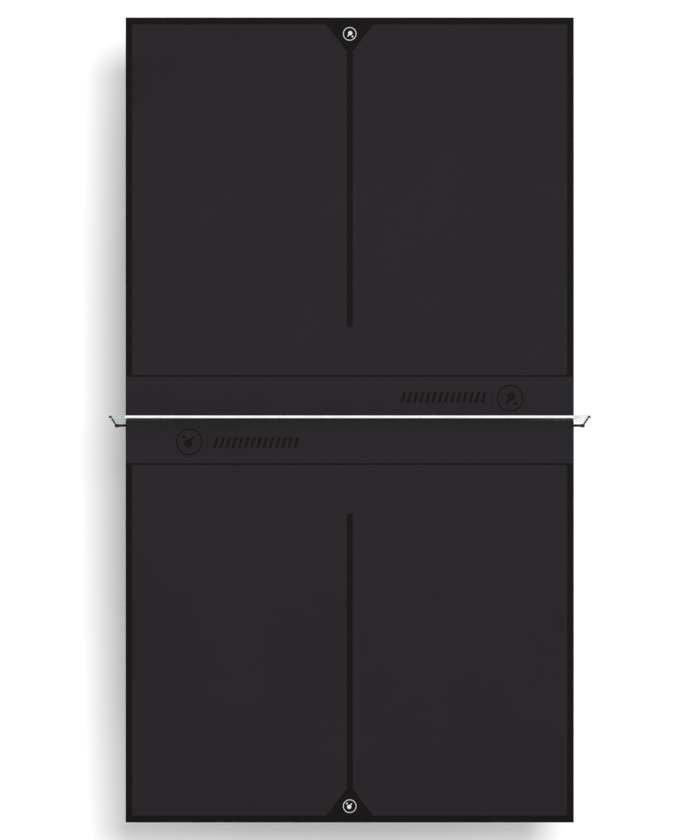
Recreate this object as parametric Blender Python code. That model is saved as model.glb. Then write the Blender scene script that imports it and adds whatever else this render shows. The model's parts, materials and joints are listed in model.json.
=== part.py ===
"""Folding table tennis table: two hinged halves on a wheeled chassis, with a net between them.

Units are metres and +Z is up. X runs across the table and Y along it. The halves meet at y = 0 and
the floor is z = 0. Far is +Y, near is -Y, right is +X and left is -X. Most pieces are drawn once,
for the far right corner, and mirrored to the other corners.
"""

import math

import bmesh
import bpy
from mathutils import Matrix, Vector

# Playing surface
TABLE_LENGTH = 2.740
TABLE_WIDTH = 1.525
TABLE_HEIGHT = 0.760
BOARD_THICKNESS = 0.018
BOARD_EDGE_ROUND = 0.0015
CENTRE_GAP = 0.004
GAP = 0.0003

# Frame under each board
RAIL_HEIGHT = 0.042
RAIL_WIDTH = 0.018
RAIL_INSET = 0.002
UNDER_RAIL_X = 0.580
UNDER_RAIL_WIDTH = 0.028
TUBE_WALL = 0.002
TUBE_ROUND = 0.003

# Fold linkage: each half turns on P, each leg hangs from L, each strut joins S to A
PIVOT = Vector((0.0, 0.400, 0.720))
LEG_HINGE = Vector((0.0, 1.200, 0.680))
LINK_DROP = Vector((0.0, 0.0, -0.250))
STRUT_PIVOT = PIVOT + LINK_DROP
STRUT_END = LEG_HINGE + LINK_DROP
PIVOT_PIN_RADIUS = 0.006
PIVOT_PIN_HEAD = 0.004
PIVOT_PIN_END_X = 0.614
LINK_PIN_RADIUS = 0.005
LINK_PIN_HEAD = 0.006
LEG_PIN_END_X = 0.6375
PIN_CLEARANCE = 0.0004
LUG_THICKNESS = 0.005
LUG_TOP_HALF = 0.030
LUG_FOOT_HALF = 0.016
LUG_OVERLAP = 0.008

# Legs and feet
FRAME_X = 0.620
LEG_WIDTH = 0.025
LEG_WALL = 0.0016
LEG_TOP = 0.697
LEG_BOTTOM = 0.046
BRACE_HEIGHT = 0.2475
FOOT_RADIUS = 0.018
FOOT_STEM_RADIUS = 0.005
FOOT_RIM_TOP = 0.008
FOOT_PAD_TOP = 0.020
FOOT_STEM_TOP = 0.085
STRUT_X = 0.651
STRUT_THICKNESS = 0.015
STRUT_HEIGHT = 0.025
STRUT_OVERHANG = 0.018

# Chassis
BASE_RAIL_HALF_LENGTH = 0.510
BASE_RAIL_BOTTOM = 0.125
BASE_RAIL_HEIGHT = 0.040
UPRIGHT_WIDTH = 0.030
UPRIGHT_Y = 0.460
UPRIGHT_TOP = 0.735
CROSS_TUBE_Z = 0.580
CROSS_TUBE_HEIGHT = 0.040
LOWER_TUBE_HEIGHT = 0.030
LOWER_TUBE_RISE = 0.005
PLATE_THICKNESS = 0.0055
PLATE_INNER_Y = 0.384
PLATE_END_Y = 0.470
PLATE_WELD = 0.0005
FOLD_PLATE_BOTTOM = 0.640
FOLD_PLATE_TOP = 0.738
STRUT_PLATE_HALF = 0.018

# Safety lock bolts
BOLT_RADIUS = 0.004
BOLT_OFFSET = 0.030
BOLT_TIP_X = 0.5975
BOLT_LENGTH = 0.0495
BOLT_KNOB_RADIUS = 0.009
BOLT_KNOB_LENGTH = 0.015
BOLT_SLEEVE_HALF = 0.011
BOLT_SLEEVE_PROUD = 0.006

# Castors
CASTOR_Y = 0.455
CASTOR_TRAIL = 0.028
WHEEL_RADIUS = 0.050
WHEEL_HALF_WIDTH = 0.0145
WHEEL_BORE_RADIUS = 0.0046
AXLE_RADIUS = 0.004
CHEEK_INNER_X = 0.016
CHEEK_THICKNESS = 0.003
CROWN_BOTTOM = 0.109
CROWN_TOP = 0.124
CROWN_HALF_WIDTH = 0.0185
FORK_BACK_Y = -0.018
CROWN_FRONT_Y = 0.024
FORK_FRONT_Y = 0.061
FORK_FOOT = 0.040
STEM_RADIUS = 0.006
STEM_RISE = 0.026
TYRE_ROUND = 0.008
HUB_RADIUS = 0.015
HUB_HALF_WIDTH = 0.0135
WEB_HALF_WIDTH = 0.005
PEDAL_PIVOT = Vector((0.0, 0.052, 0.1125))
PEDAL_TILT = math.radians(5.0)
PEDAL_PIN_RADIUS = 0.0025
LEVER_HALF = Vector((0.0145, 0.013, 0.004))
LEVER_Y = 0.007
TREAD_HALF = Vector((0.0210, 0.02275, 0.00275))
TREAD_CENTRE = Vector((0.0, 0.03725, 0.00025))

# Net
NET_HEIGHT = 0.1525
POST_X = 0.800
POST_RADIUS = 0.003
POST_TOP_RISE = 0.006
POST_LEAN_TOP = 0.885
POST_FOOT_GAP = 0.003
NET_Y = 0.0105
ARM_Y = -0.0195
ARM_RADIUS = 0.0045
ARM_Z = 0.488
ARM_BEND = 0.035
COLUMN_TOP = 0.505
SOCKET_RADIUS = 0.0055
SOCKET_HOLE_RADIUS = 0.004
SOCKET_BOTTOM = 0.6543
SOCKET_TOP = 0.705
SOCKET_FLOOR = 0.665
TAPE_HEIGHT = 0.019
TAPE_THICKNESS = 0.0092
NET_THICKNESS = 0.002
NET_HALF_WIDTH = 0.788
NET_CLEARANCE = 0.002

ROUND_SIDES = 12
WHEEL_SIDES = 24
BEND_STEPS = 8

BOARD_BOTTOM = TABLE_HEIGHT - BOARD_THICKNESS
RAIL_TOP = BOARD_BOTTOM - GAP
RAIL_BOTTOM = BOARD_BOTTOM - RAIL_HEIGHT
SIDE_RAIL_OUTER = TABLE_WIDTH / 2 - RAIL_INSET
SIDE_RAIL_INNER = SIDE_RAIL_OUTER - RAIL_WIDTH
INNER_RAIL_START = CENTRE_GAP / 2 + RAIL_INSET
END_RAIL_END = TABLE_LENGTH / 2 - RAIL_INSET
BASE_RAIL_TOP = BASE_RAIL_BOTTOM + BASE_RAIL_HEIGHT
UPRIGHT_INNER_X = FRAME_X - UPRIGHT_WIDTH / 2
UPRIGHT_OUTER_X = FRAME_X + UPRIGHT_WIDTH / 2

SIDES = (("left", -1), ("right", 1))
ENDS = (("far", 1), ("near", -1))

for leftover in list(bpy.data.objects):
    bpy.data.objects.remove(leftover)


# ---------------------------------------------------------------- materials

def make_material(name, colour, roughness, metallic=0.0):
    """A Principled material of one colour, roughness and metallic value."""
    material = bpy.data.materials.new(name)
    material.use_nodes = True
    shader = material.node_tree.nodes["Principled BSDF"]
    shader.inputs["Base Color"].default_value = (*colour, 1.0)
    shader.inputs["Roughness"].default_value = roughness
    shader.inputs["Metallic"].default_value = metallic
    return material


FINISHES = {
    "board": ((0.026, 0.023, 0.026), 0.60, 0.0),
    "steel": ((0.018, 0.018, 0.021), 0.45, 0.0),
    "castor_plastic": ((0.030, 0.030, 0.032), 0.50, 0.0),
    "tyre": ((0.060, 0.060, 0.062), 0.80, 0.0),
    "foot": ((0.020, 0.020, 0.020), 0.70, 0.0),
    "zinc": ((0.550, 0.550, 0.560), 0.35, 1.0),
    "pedal": ((0.130, 0.130, 0.135), 0.45, 0.0),
    "net": ((0.020, 0.020, 0.022), 0.90, 0.0),
    "tape": ((0.900, 0.900, 0.910), 0.80, 0.0),
}


# ---------------------------------------------------------------- modelling tools

def box(low, high):
    """A new bmesh holding one block between two corners."""
    low, high = Vector(low), Vector(high)
    place = Matrix.Translation((low + high) / 2) @ Matrix.Diagonal((*(high - low), 1.0))
    bm = bmesh.new()
    bmesh.ops.create_cube(bm, size=1.0, matrix=place)
    return bm


def rod(start, end, radius, sides=ROUND_SIDES):
    """A new bmesh holding a round bar between two points."""
    start, end = Vector(start), Vector(end)
    span = end - start
    turn = span.to_track_quat("Z", "Y").to_matrix().to_4x4()
    bm = bmesh.new()
    bmesh.ops.create_cone(bm, cap_ends=True, segments=sides, radius1=radius, radius2=radius,
                          depth=span.length, matrix=Matrix.Translation((start + end) / 2) @ turn)
    return bm


def cross_rod(x_start, x_end, centre, radius, sides=ROUND_SIDES):
    """A round bar along X through the (y, z) of centre: a pin, or a cutter for its hole."""
    return rod((x_start, centre.y, centre.z), (x_end, centre.y, centre.z), radius, sides)


def rounded_outline(width, height, radius, corner_steps=2):
    """Points round a rectangle centred on (0, 0), with an arc at each corner."""
    points = []
    for quarter, (a, b) in enumerate(((1, 1), (-1, 1), (-1, -1), (1, -1))):
        centre = Vector((a * (width / 2 - radius), b * (height / 2 - radius)))
        for step in range(corner_steps + 1):
            angle = math.pi / 2 * (quarter + step / corner_steps)
            points.append(centre + radius * Vector((math.cos(angle), math.sin(angle))))
    return points


def hollow_tube(low, high, axis, wall=TUBE_WALL, rounding=TUBE_ROUND):
    """A rectangular tube between two corners, open at both ends along axis 0, 1 or 2."""
    low, high = Vector(low), Vector(high)
    centre, size = (low + high) / 2, high - low
    first, second = [i for i in range(3) if i != axis]
    bm = bmesh.new()
    rings = []
    for inset in (0.0, wall):
        outline = rounded_outline(size[first] - 2 * inset, size[second] - 2 * inset,
                                  rounding - inset)
        for end in (low[axis], high[axis]):
            ring = []
            for offset in outline:
                point = centre.copy()
                point[axis] = end
                point[first] += offset.x
                point[second] += offset.y
                ring.append(bm.verts.new(point))
            rings.append(ring)
    outer_start, outer_end, inner_start, inner_end = rings
    pairs = ((outer_start, outer_end), (inner_start, inner_end),
             (outer_start, inner_start), (outer_end, inner_end))
    for one, other in pairs:
        for i in range(len(one)):
            j = (i + 1) % len(one)
            bm.faces.new((one[i], one[j], other[j], other[i]))
    return bm


def rod_along(points, radius, across, sides=ROUND_SIDES):
    """A round bar along a flat path; across is the unit normal of the plane it lies in."""
    bm = bmesh.new()
    rings = []
    for index, point in enumerate(points):
        before = points[max(index - 1, 0)]
        after = points[min(index + 1, len(points) - 1)]
        upward = (after - before).normalized().cross(across)
        ring = []
        for step in range(sides):
            angle = 2 * math.pi * step / sides
            ring.append(bm.verts.new(
                point + radius * (math.cos(angle) * across + math.sin(angle) * upward)))
        rings.append(ring)
    for first, second in zip(rings, rings[1:]):
        for i in range(sides):
            j = (i + 1) % sides
            bm.faces.new((first[i], first[j], second[j], second[i]))
    bm.faces.new(rings[0])
    bm.faces.new(rings[-1])
    return bm


def turned(profile, sides, closed_ring=False):
    """A solid turned about Z from (radius, height) points; a closed ring leaves a bore."""
    bm = bmesh.new()
    half_step = math.pi / sides
    flat = 1.0 / math.cos(half_step)
    verts = [bm.verts.new((radius * flat, 0.0, height)) for radius, height in profile]
    edges = [bm.edges.new(pair) for pair in zip(verts, verts[1:])]
    if closed_ring:
        edges.append(bm.edges.new((verts[-1], verts[0])))
    bmesh.ops.rotate(bm, verts=verts, cent=(0, 0, 0), matrix=Matrix.Rotation(half_step, 3, "Z"))
    bmesh.ops.spin(bm, geom=verts + edges, cent=(0, 0, 0), axis=(0, 0, 1),
                   angle=2 * math.pi, steps=sides, use_merge=True)
    bmesh.ops.remove_doubles(bm, verts=bm.verts, dist=0.00001)
    return bm


def prism(outline, x_start, x_end):
    """A plate cut to an outline of (y, z) points and as thick as the X range."""
    bm = bmesh.new()
    face = bm.faces.new([bm.verts.new((x_start, y, z)) for y, z in outline])
    grown = bmesh.ops.extrude_face_region(bm, geom=[face])["geom"]
    moved = [item for item in grown if isinstance(item, bmesh.types.BMVert)]
    bmesh.ops.translate(bm, verts=moved, vec=(x_end - x_start, 0, 0))
    return bm


def face_outwards(bm):
    """Turn every face of a closed solid outwards."""
    bmesh.ops.recalc_face_normals(bm, faces=bm.faces)
    if bm.calc_volume(signed=True) < 0:
        bmesh.ops.reverse_faces(bm, faces=bm.faces)


def temporary_object(bm):
    """An object holding a bmesh, with its faces turned outwards."""
    face_outwards(bm)
    mesh = bpy.data.meshes.new("temporary")
    bm.to_mesh(mesh)
    bm.free()
    temporary = bpy.data.objects.new("temporary", mesh)
    bpy.context.scene.collection.objects.link(temporary)
    return temporary


def boolean(bm, tool, operation):
    """Weld (UNION) a tool to a solid, or cut (DIFFERENCE) it out, and return the new solid."""
    body = temporary_object(bm)
    cutter = temporary_object(tool)
    modifier = body.modifiers.new("boolean", "BOOLEAN")
    modifier.operation = operation
    modifier.solver = "EXACT"
    modifier.object = cutter
    bpy.context.view_layer.update()
    evaluated = body.evaluated_get(bpy.context.evaluated_depsgraph_get())
    result = bmesh.new()
    result.from_mesh(evaluated.to_mesh())
    evaluated.to_mesh_clear()
    for used in (body, cutter):
        mesh = used.data
        bpy.data.objects.remove(used)
        bpy.data.meshes.remove(mesh)
    return result


def weld(bm, *tools):
    """Join more solids to one."""
    for tool in tools:
        bm = boolean(bm, tool, "UNION")
    return bm


def drill(bm, *tools):
    """Cut more shapes out of a solid."""
    for tool in tools:
        bm = boolean(bm, tool, "DIFFERENCE")
    return bm


def piece(name, bm, finish, mirror=(1, 1), origin=(0.0, 0.0, 0.0)):
    """A named object from a solid drawn in place, mirrored in X and Y, with its own origin."""
    flip = Matrix.Diagonal((mirror[0], mirror[1], 1.0, 1.0))
    centre = flip @ Vector(origin)
    bm.transform(Matrix.Translation(-centre) @ flip)
    face_outwards(bm)
    mesh = bpy.data.meshes.new(name)
    bm.to_mesh(mesh)
    bm.free()
    mesh.shade_smooth()
    mesh.set_sharp_from_angle(angle=math.radians(32.0))
    mesh.materials.append(make_material(name, *FINISHES[finish]))
    item = bpy.data.objects.new(name, mesh)
    item.location = centre
    bpy.context.scene.collection.objects.link(item)
    return item


# ---------------------------------------------------------------- one half of the table

def table_top():
    """The playing board, with its edges slightly rounded."""
    half = TABLE_WIDTH / 2
    bm = box((-half, CENTRE_GAP / 2, BOARD_BOTTOM), (half, TABLE_LENGTH / 2, TABLE_HEIGHT))
    bmesh.ops.bevel(bm, geom=bm.edges[:], offset=BOARD_EDGE_ROUND, segments=2, profile=0.5,
                    affect="EDGES")
    return bm


def side_rail():
    """The apron tube along the board's long edge."""
    return hollow_tube((SIDE_RAIL_INNER, INNER_RAIL_START, RAIL_BOTTOM),
                       (SIDE_RAIL_OUTER, END_RAIL_END, RAIL_TOP), 1)


def cross_apron(y_start):
    """An apron tube across the board, between the two side rails."""
    reach = SIDE_RAIL_INNER - GAP
    return hollow_tube((-reach, y_start, RAIL_BOTTOM), (reach, y_start + RAIL_WIDTH, RAIL_TOP), 0)


def under_rail(with_sleeve):
    """The tube that carries the fold pivot pin, the leg hinge lug and the lock bolt's sleeve."""
    inner_x = UNDER_RAIL_X - UNDER_RAIL_WIDTH / 2
    outer_x = UNDER_RAIL_X + UNDER_RAIL_WIDTH / 2
    y_start = INNER_RAIL_START + RAIL_WIDTH + GAP
    y_end = END_RAIL_END - RAIL_WIDTH - GAP
    tube = hollow_tube((inner_x, y_start, RAIL_BOTTOM), (outer_x, y_end, RAIL_TOP), 1)
    pivot_pin = cross_rod(inner_x - PIVOT_PIN_HEAD, PIVOT_PIN_END_X, PIVOT, PIVOT_PIN_RADIUS)
    lug_top, lug_foot = RAIL_TOP - LUG_OVERLAP, LEG_HINGE.z - LUG_FOOT_HALF
    lug_outline = [(LEG_HINGE.y - LUG_TOP_HALF, lug_top), (LEG_HINGE.y + LUG_TOP_HALF, lug_top),
                   (LEG_HINGE.y + LUG_FOOT_HALF, lug_foot), (LEG_HINGE.y - LUG_FOOT_HALF, lug_foot)]
    lug = prism(lug_outline, outer_x - PLATE_WELD, outer_x + LUG_THICKNESS)
    leg_pin = cross_rod(outer_x - TUBE_WALL / 2, LEG_PIN_END_X, LEG_HINGE, LINK_PIN_RADIUS)
    rail = weld(tube, pivot_pin, lug, leg_pin)
    if not with_sleeve:
        return rail
    bolt = PIVOT - Vector((0, 0, BOLT_OFFSET))
    sleeve_top = RAIL_BOTTOM + TUBE_WALL - PLATE_WELD
    sleeve = box((inner_x - BOLT_SLEEVE_PROUD, bolt.y - BOLT_SLEEVE_HALF, bolt.z - BOLT_SLEEVE_HALF),
                 (outer_x - UNDER_RAIL_WIDTH / 7, bolt.y + BOLT_SLEEVE_HALF, sleeve_top))
    hole = cross_rod(inner_x - UNDER_RAIL_WIDTH, outer_x + UNDER_RAIL_WIDTH, bolt,
                     BOLT_RADIUS + PIN_CLEARANCE)
    return drill(weld(rail, sleeve), hole)


def lock_bolt():
    """A sliding bolt with a pull knob, drawn back clear of the pivot plate."""
    centre = PIVOT - Vector((0, 0, BOLT_OFFSET))
    shank_start = BOLT_TIP_X - BOLT_LENGTH
    shank = cross_rod(shank_start - 0.001, BOLT_TIP_X, centre, BOLT_RADIUS)
    knob = cross_rod(shank_start - BOLT_KNOB_LENGTH, shank_start, centre, BOLT_KNOB_RADIUS)
    return weld(knob, shank)


# ---------------------------------------------------------------- legs, feet and struts

def leg():
    """A leg tube, with the hole for its hinge pin and the strut's pin through it."""
    half = LEG_WIDTH / 2
    tube = hollow_tube((FRAME_X - half, LEG_HINGE.y - half, LEG_BOTTOM),
                       (FRAME_X + half, LEG_HINGE.y + half, LEG_TOP), 2, LEG_WALL)
    hole = cross_rod(FRAME_X - LEG_WIDTH, FRAME_X + LEG_WIDTH, LEG_HINGE,
                     LINK_PIN_RADIUS + PIN_CLEARANCE)
    pin = cross_rod(FRAME_X - half - LINK_PIN_HEAD / 2, STRUT_X + STRUT_THICKNESS / 2 + LINK_PIN_HEAD,
                    STRUT_END, LINK_PIN_RADIUS)
    return weld(drill(tube, hole), pin)


def leg_brace():
    """The tube between a pair of legs."""
    half = LEG_WIDTH / 2
    reach = FRAME_X - half - GAP
    return hollow_tube((-reach, LEG_HINGE.y - half, BRACE_HEIGHT - half),
                       (reach, LEG_HINGE.y + half, BRACE_HEIGHT + half), 0, LEG_WALL)


def foot():
    """A levelling foot: a pad on a stem that reaches up inside the leg."""
    profile = [(0.0, 0.0), (FOOT_RADIUS - 0.001, 0.0), (FOOT_RADIUS, 0.002),
               (FOOT_RADIUS, FOOT_RIM_TOP), (FOOT_RADIUS / 2, FOOT_PAD_TOP),
               (FOOT_STEM_RADIUS, FOOT_PAD_TOP + 0.002), (FOOT_STEM_RADIUS, FOOT_STEM_TOP),
               (0.0, FOOT_STEM_TOP)]
    bm = turned(profile, ROUND_SIDES)
    bm.transform(Matrix.Translation((FRAME_X, LEG_HINGE.y, 0.0)))
    return bm


def strut():
    """A flat tube from the chassis to the leg, parallel to the line from fold pivot to leg hinge."""
    span = STRUT_END - STRUT_PIVOT
    low = (-STRUT_THICKNESS / 2, -STRUT_OVERHANG, -STRUT_HEIGHT / 2)
    high = (STRUT_THICKNESS / 2, span.length + STRUT_OVERHANG, STRUT_HEIGHT / 2)
    tube = hollow_tube(low, high, 1, LEG_WALL)
    hole_radius = LINK_PIN_RADIUS + PIN_CLEARANCE
    holes = [cross_rod(-STRUT_THICKNESS, STRUT_THICKNESS, Vector((0, distance, 0)), hole_radius)
             for distance in (0.0, span.length)]
    bar = drill(tube, *holes)
    slope = Matrix.Rotation(math.atan2(span.z, span.y), 4, "X")
    bar.transform(Matrix.Translation((STRUT_X, STRUT_PIVOT.y, STRUT_PIVOT.z)) @ slope)
    return bar


# ---------------------------------------------------------------- chassis

def base_rail():
    """The bottom tube along one side, with a hole under each end for a castor's stem."""
    half = UPRIGHT_WIDTH / 2
    tube = hollow_tube((FRAME_X - half, -BASE_RAIL_HALF_LENGTH, BASE_RAIL_BOTTOM),
                       (FRAME_X + half, BASE_RAIL_HALF_LENGTH, BASE_RAIL_TOP), 1)
    depth = BASE_RAIL_HEIGHT / 4
    holes = [rod((FRAME_X, y, BASE_RAIL_BOTTOM - depth), (FRAME_X, y, BASE_RAIL_BOTTOM + depth),
                 STEM_RADIUS + PIN_CLEARANCE) for y in (-CASTOR_Y, CASTOR_Y)]
    return drill(tube, *holes)


def upright():
    """A post of the chassis, with the fold pivot's plate inside it and the strut's plate outside."""
    half = UPRIGHT_WIDTH / 2
    tube = hollow_tube((UPRIGHT_INNER_X, UPRIGHT_Y - half, BASE_RAIL_TOP + GAP),
                       (UPRIGHT_OUTER_X, UPRIGHT_Y + half, UPRIGHT_TOP), 2)
    corner_y = PLATE_INNER_Y + 0.008
    fold_outline = [(PLATE_INNER_Y, FOLD_PLATE_BOTTOM + 0.032), (corner_y, FOLD_PLATE_BOTTOM + 0.022),
                    (PLATE_END_Y, FOLD_PLATE_BOTTOM), (PLATE_END_Y, FOLD_PLATE_TOP - 0.006),
                    (corner_y, FOLD_PLATE_TOP), (PLATE_INNER_Y, FOLD_PLATE_TOP - 0.008)]
    fold_plate = prism(fold_outline, UPRIGHT_INNER_X + PLATE_WELD - PLATE_THICKNESS,
                       UPRIGHT_INNER_X + PLATE_WELD)
    reach = (UPRIGHT_INNER_X - PLATE_THICKNESS * 2, UPRIGHT_INNER_X + PLATE_THICKNESS * 2)
    bolt_hole_radius = BOLT_RADIUS + PIN_CLEARANCE
    fold_plate = drill(
        fold_plate,
        cross_rod(*reach, PIVOT, PIVOT_PIN_RADIUS + PIN_CLEARANCE),
        cross_rod(*reach, PIVOT - Vector((0, 0, BOLT_OFFSET)), bolt_hole_radius),
        cross_rod(*reach, PIVOT + Vector((0, BOLT_OFFSET, 0)), bolt_hole_radius))
    low, high = STRUT_PIVOT.z - STRUT_PLATE_HALF, STRUT_PIVOT.z + STRUT_PLATE_HALF
    strut_outline = [(PLATE_INNER_Y, low + 0.006), (corner_y, low), (PLATE_END_Y, low - 0.012),
                     (PLATE_END_Y, high + 0.012), (corner_y, high), (PLATE_INNER_Y, high - 0.006)]
    strut_plate = prism(strut_outline, UPRIGHT_OUTER_X - PLATE_WELD,
                        UPRIGHT_OUTER_X - PLATE_WELD + PLATE_THICKNESS)
    strut_pin = cross_rod(UPRIGHT_OUTER_X + PLATE_WELD * 4, STRUT_X + STRUT_THICKNESS / 2 + LINK_PIN_HEAD,
                          STRUT_PIVOT, LINK_PIN_RADIUS)
    return weld(tube, fold_plate, strut_plate, strut_pin)


def cross_tube(y, z_bottom, height):
    """A tube across the chassis, between the uprights or the base rails."""
    half = UPRIGHT_WIDTH / 2
    reach = UPRIGHT_INNER_X - GAP
    return hollow_tube((-reach, y - half, z_bottom), (reach, y + half, z_bottom + height), 0)


def net_column():
    """A short post on the base rail that holds the net's support arm."""
    half = LEG_WIDTH / 2
    return hollow_tube((FRAME_X - half, ARM_Y - half, BASE_RAIL_TOP + GAP),
                       (FRAME_X + half, ARM_Y + half, COLUMN_TOP), 2, LEG_WALL)


def net_arm():
    """A bent rod that runs out under the board's edge and up to the net post's socket."""
    start = Vector((FRAME_X + LEG_WIDTH / 2 + GAP, ARM_Y, ARM_Z))
    centre = Vector((POST_X - ARM_BEND, ARM_Y, ARM_Z + ARM_BEND))
    bend = []
    for step in range(BEND_STEPS + 1):
        angle = math.pi / 2 * step / BEND_STEPS
        bend.append(centre + ARM_BEND * Vector((math.sin(angle), 0, -math.cos(angle))))
    end = Vector((POST_X, ARM_Y, SOCKET_BOTTOM - GAP))
    return rod_along([start, *bend, end], ARM_RADIUS, Vector((0, 1, 0)))


def net_socket():
    """A cup with a blind hole that the net post's foot drops into."""
    profile = [(0.0, SOCKET_BOTTOM), (SOCKET_RADIUS - 0.001, SOCKET_BOTTOM),
               (SOCKET_RADIUS, SOCKET_BOTTOM + 0.001), (SOCKET_RADIUS, SOCKET_TOP - 0.001),
               (SOCKET_RADIUS - 0.001, SOCKET_TOP), (SOCKET_HOLE_RADIUS, SOCKET_TOP),
               (SOCKET_HOLE_RADIUS, SOCKET_FLOOR), (0.0, SOCKET_FLOOR)]
    bm = turned(profile, ROUND_SIDES)
    bm.transform(Matrix.Translation((POST_X, ARM_Y, 0.0)))
    return bm


# ---------------------------------------------------------------- castors

def castor_fork():
    """Two cheeks under a crown, with the swivel stem above and the wheel's axle between them."""
    crown = box((-CROWN_HALF_WIDTH, FORK_BACK_Y, CROWN_BOTTOM),
                (CROWN_HALF_WIDTH, CROWN_FRONT_Y, CROWN_TOP))
    cheek_top, shoulder = CROWN_TOP - 0.001, CROWN_BOTTOM - 0.011
    outline = [(FORK_BACK_Y, cheek_top), (CROWN_FRONT_Y + 0.010, cheek_top),
               (FORK_FRONT_Y, cheek_top - 0.004), (FORK_FRONT_Y, CROWN_BOTTOM - 0.003),
               (FORK_FRONT_Y - 0.013, shoulder), (CASTOR_TRAIL + 0.012, WHEEL_RADIUS),
               (CASTOR_TRAIL + 0.006, FORK_FOOT), (CASTOR_TRAIL - 0.006, FORK_FOOT),
               (CASTOR_TRAIL - 0.012, WHEEL_RADIUS), (FORK_BACK_Y, shoulder)]
    outer = CHEEK_INNER_X + CHEEK_THICKNESS
    cheeks = [prism(outline, CHEEK_INNER_X, outer), prism(outline, -outer, -CHEEK_INNER_X)]
    stem = rod((0, 0, CROWN_TOP - 0.002), (0, 0, CROWN_TOP + STEM_RISE), STEM_RADIUS)
    axle_centre = Vector((0, CASTOR_TRAIL, WHEEL_RADIUS))
    axle = cross_rod(-outer - CHEEK_THICKNESS, outer + CHEEK_THICKNESS, axle_centre, AXLE_RADIUS)
    bore = cross_rod(-2 * outer, 2 * outer, PEDAL_PIVOT, PEDAL_PIN_RADIUS + PIN_CLEARANCE)
    return drill(weld(crown, *cheeks, stem, axle), bore)


def castor_wheel():
    """A wheel with a hub, a thin web and a rounded tyre, turned about its axle."""
    shoulder = WHEEL_HALF_WIDTH - TYRE_ROUND
    rim = WHEEL_RADIUS - 2 * (TYRE_ROUND - 0.001)
    right = []
    for step in range(4):
        angle = math.pi / 2 * step / 3
        right.append((WHEEL_RADIUS - TYRE_ROUND + TYRE_ROUND * math.cos(angle),
                      shoulder + TYRE_ROUND * math.sin(angle)))
    right += [(rim, WHEEL_HALF_WIDTH), (rim - 0.002, WEB_HALF_WIDTH),
              (HUB_RADIUS + 0.002, WEB_HALF_WIDTH), (HUB_RADIUS, HUB_HALF_WIDTH),
              (WHEEL_BORE_RADIUS, HUB_HALF_WIDTH)]
    left = [(radius, -offset) for radius, offset in reversed(right)]
    bm = turned(right + left, WHEEL_SIDES, closed_ring=True)
    upright_turn = Matrix.Rotation(math.pi / 2, 4, "Y")
    bm.transform(Matrix.Translation((0, CASTOR_TRAIL, WHEEL_RADIUS)) @ upright_turn)
    return bm


def castor_pedal():
    """A brake pedal behind the wheel, on a pin between the cheeks, tilted up when released."""
    lever_centre = Vector((0.0, LEVER_Y, 0.0))
    lever = box(lever_centre - LEVER_HALF, lever_centre + LEVER_HALF)
    tread = box(TREAD_CENTRE - TREAD_HALF, TREAD_CENTRE + TREAD_HALF)
    pin_end = CHEEK_INNER_X + CHEEK_THICKNESS + PEDAL_PIN_RADIUS
    pin = cross_rod(-pin_end, pin_end, Vector((0, 0, 0)), PEDAL_PIN_RADIUS)
    bm = weld(lever, tread, pin)
    bm.transform(Matrix.Translation(PEDAL_PIVOT) @ Matrix.Rotation(PEDAL_TILT, 4, "X"))
    return bm


# ---------------------------------------------------------------- net set

def net_post():
    """A thin post that stands in its socket, leans across to the net and ends above the tape."""
    lean_start = Vector((POST_X, ARM_Y, SOCKET_TOP))
    lean_end = Vector((POST_X, NET_Y, POST_LEAN_TOP))
    path = [Vector((POST_X, ARM_Y, SOCKET_FLOOR + POST_FOOT_GAP)), lean_start,
            lean_start.lerp(lean_end, 0.04), lean_start.lerp(lean_end, 0.96), lean_end,
            Vector((POST_X, NET_Y, TABLE_HEIGHT + NET_HEIGHT + POST_TOP_RISE))]
    return rod_along(path, POST_RADIUS, Vector((1, 0, 0)))


def net_tape():
    """The folded white band along the net's top edge, from post to post."""
    reach = POST_X - POST_RADIUS - GAP
    half = TAPE_THICKNESS / 2
    top = TABLE_HEIGHT + NET_HEIGHT
    bm = box((-reach, NET_Y - half, top - TAPE_HEIGHT), (reach, NET_Y + half, top))
    long_edges = [edge for edge in bm.edges
                  if abs(edge.verts[0].co.x - edge.verts[1].co.x) > reach
                  and edge.verts[0].co.z > top - TAPE_HEIGHT / 2]
    bmesh.ops.bevel(bm, geom=long_edges, offset=half * 0.8, segments=3, profile=0.5, affect="EDGES")
    return bm


def net_mesh():
    """The netting, as a thin sheet under the tape."""
    half = NET_THICKNESS / 2
    return box((-NET_HALF_WIDTH, NET_Y - half, TABLE_HEIGHT + NET_CLEARANCE),
               (NET_HALF_WIDTH, NET_Y + half, TABLE_HEIGHT + NET_HEIGHT - TAPE_HEIGHT - GAP))


# ---------------------------------------------------------------- assembly

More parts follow.
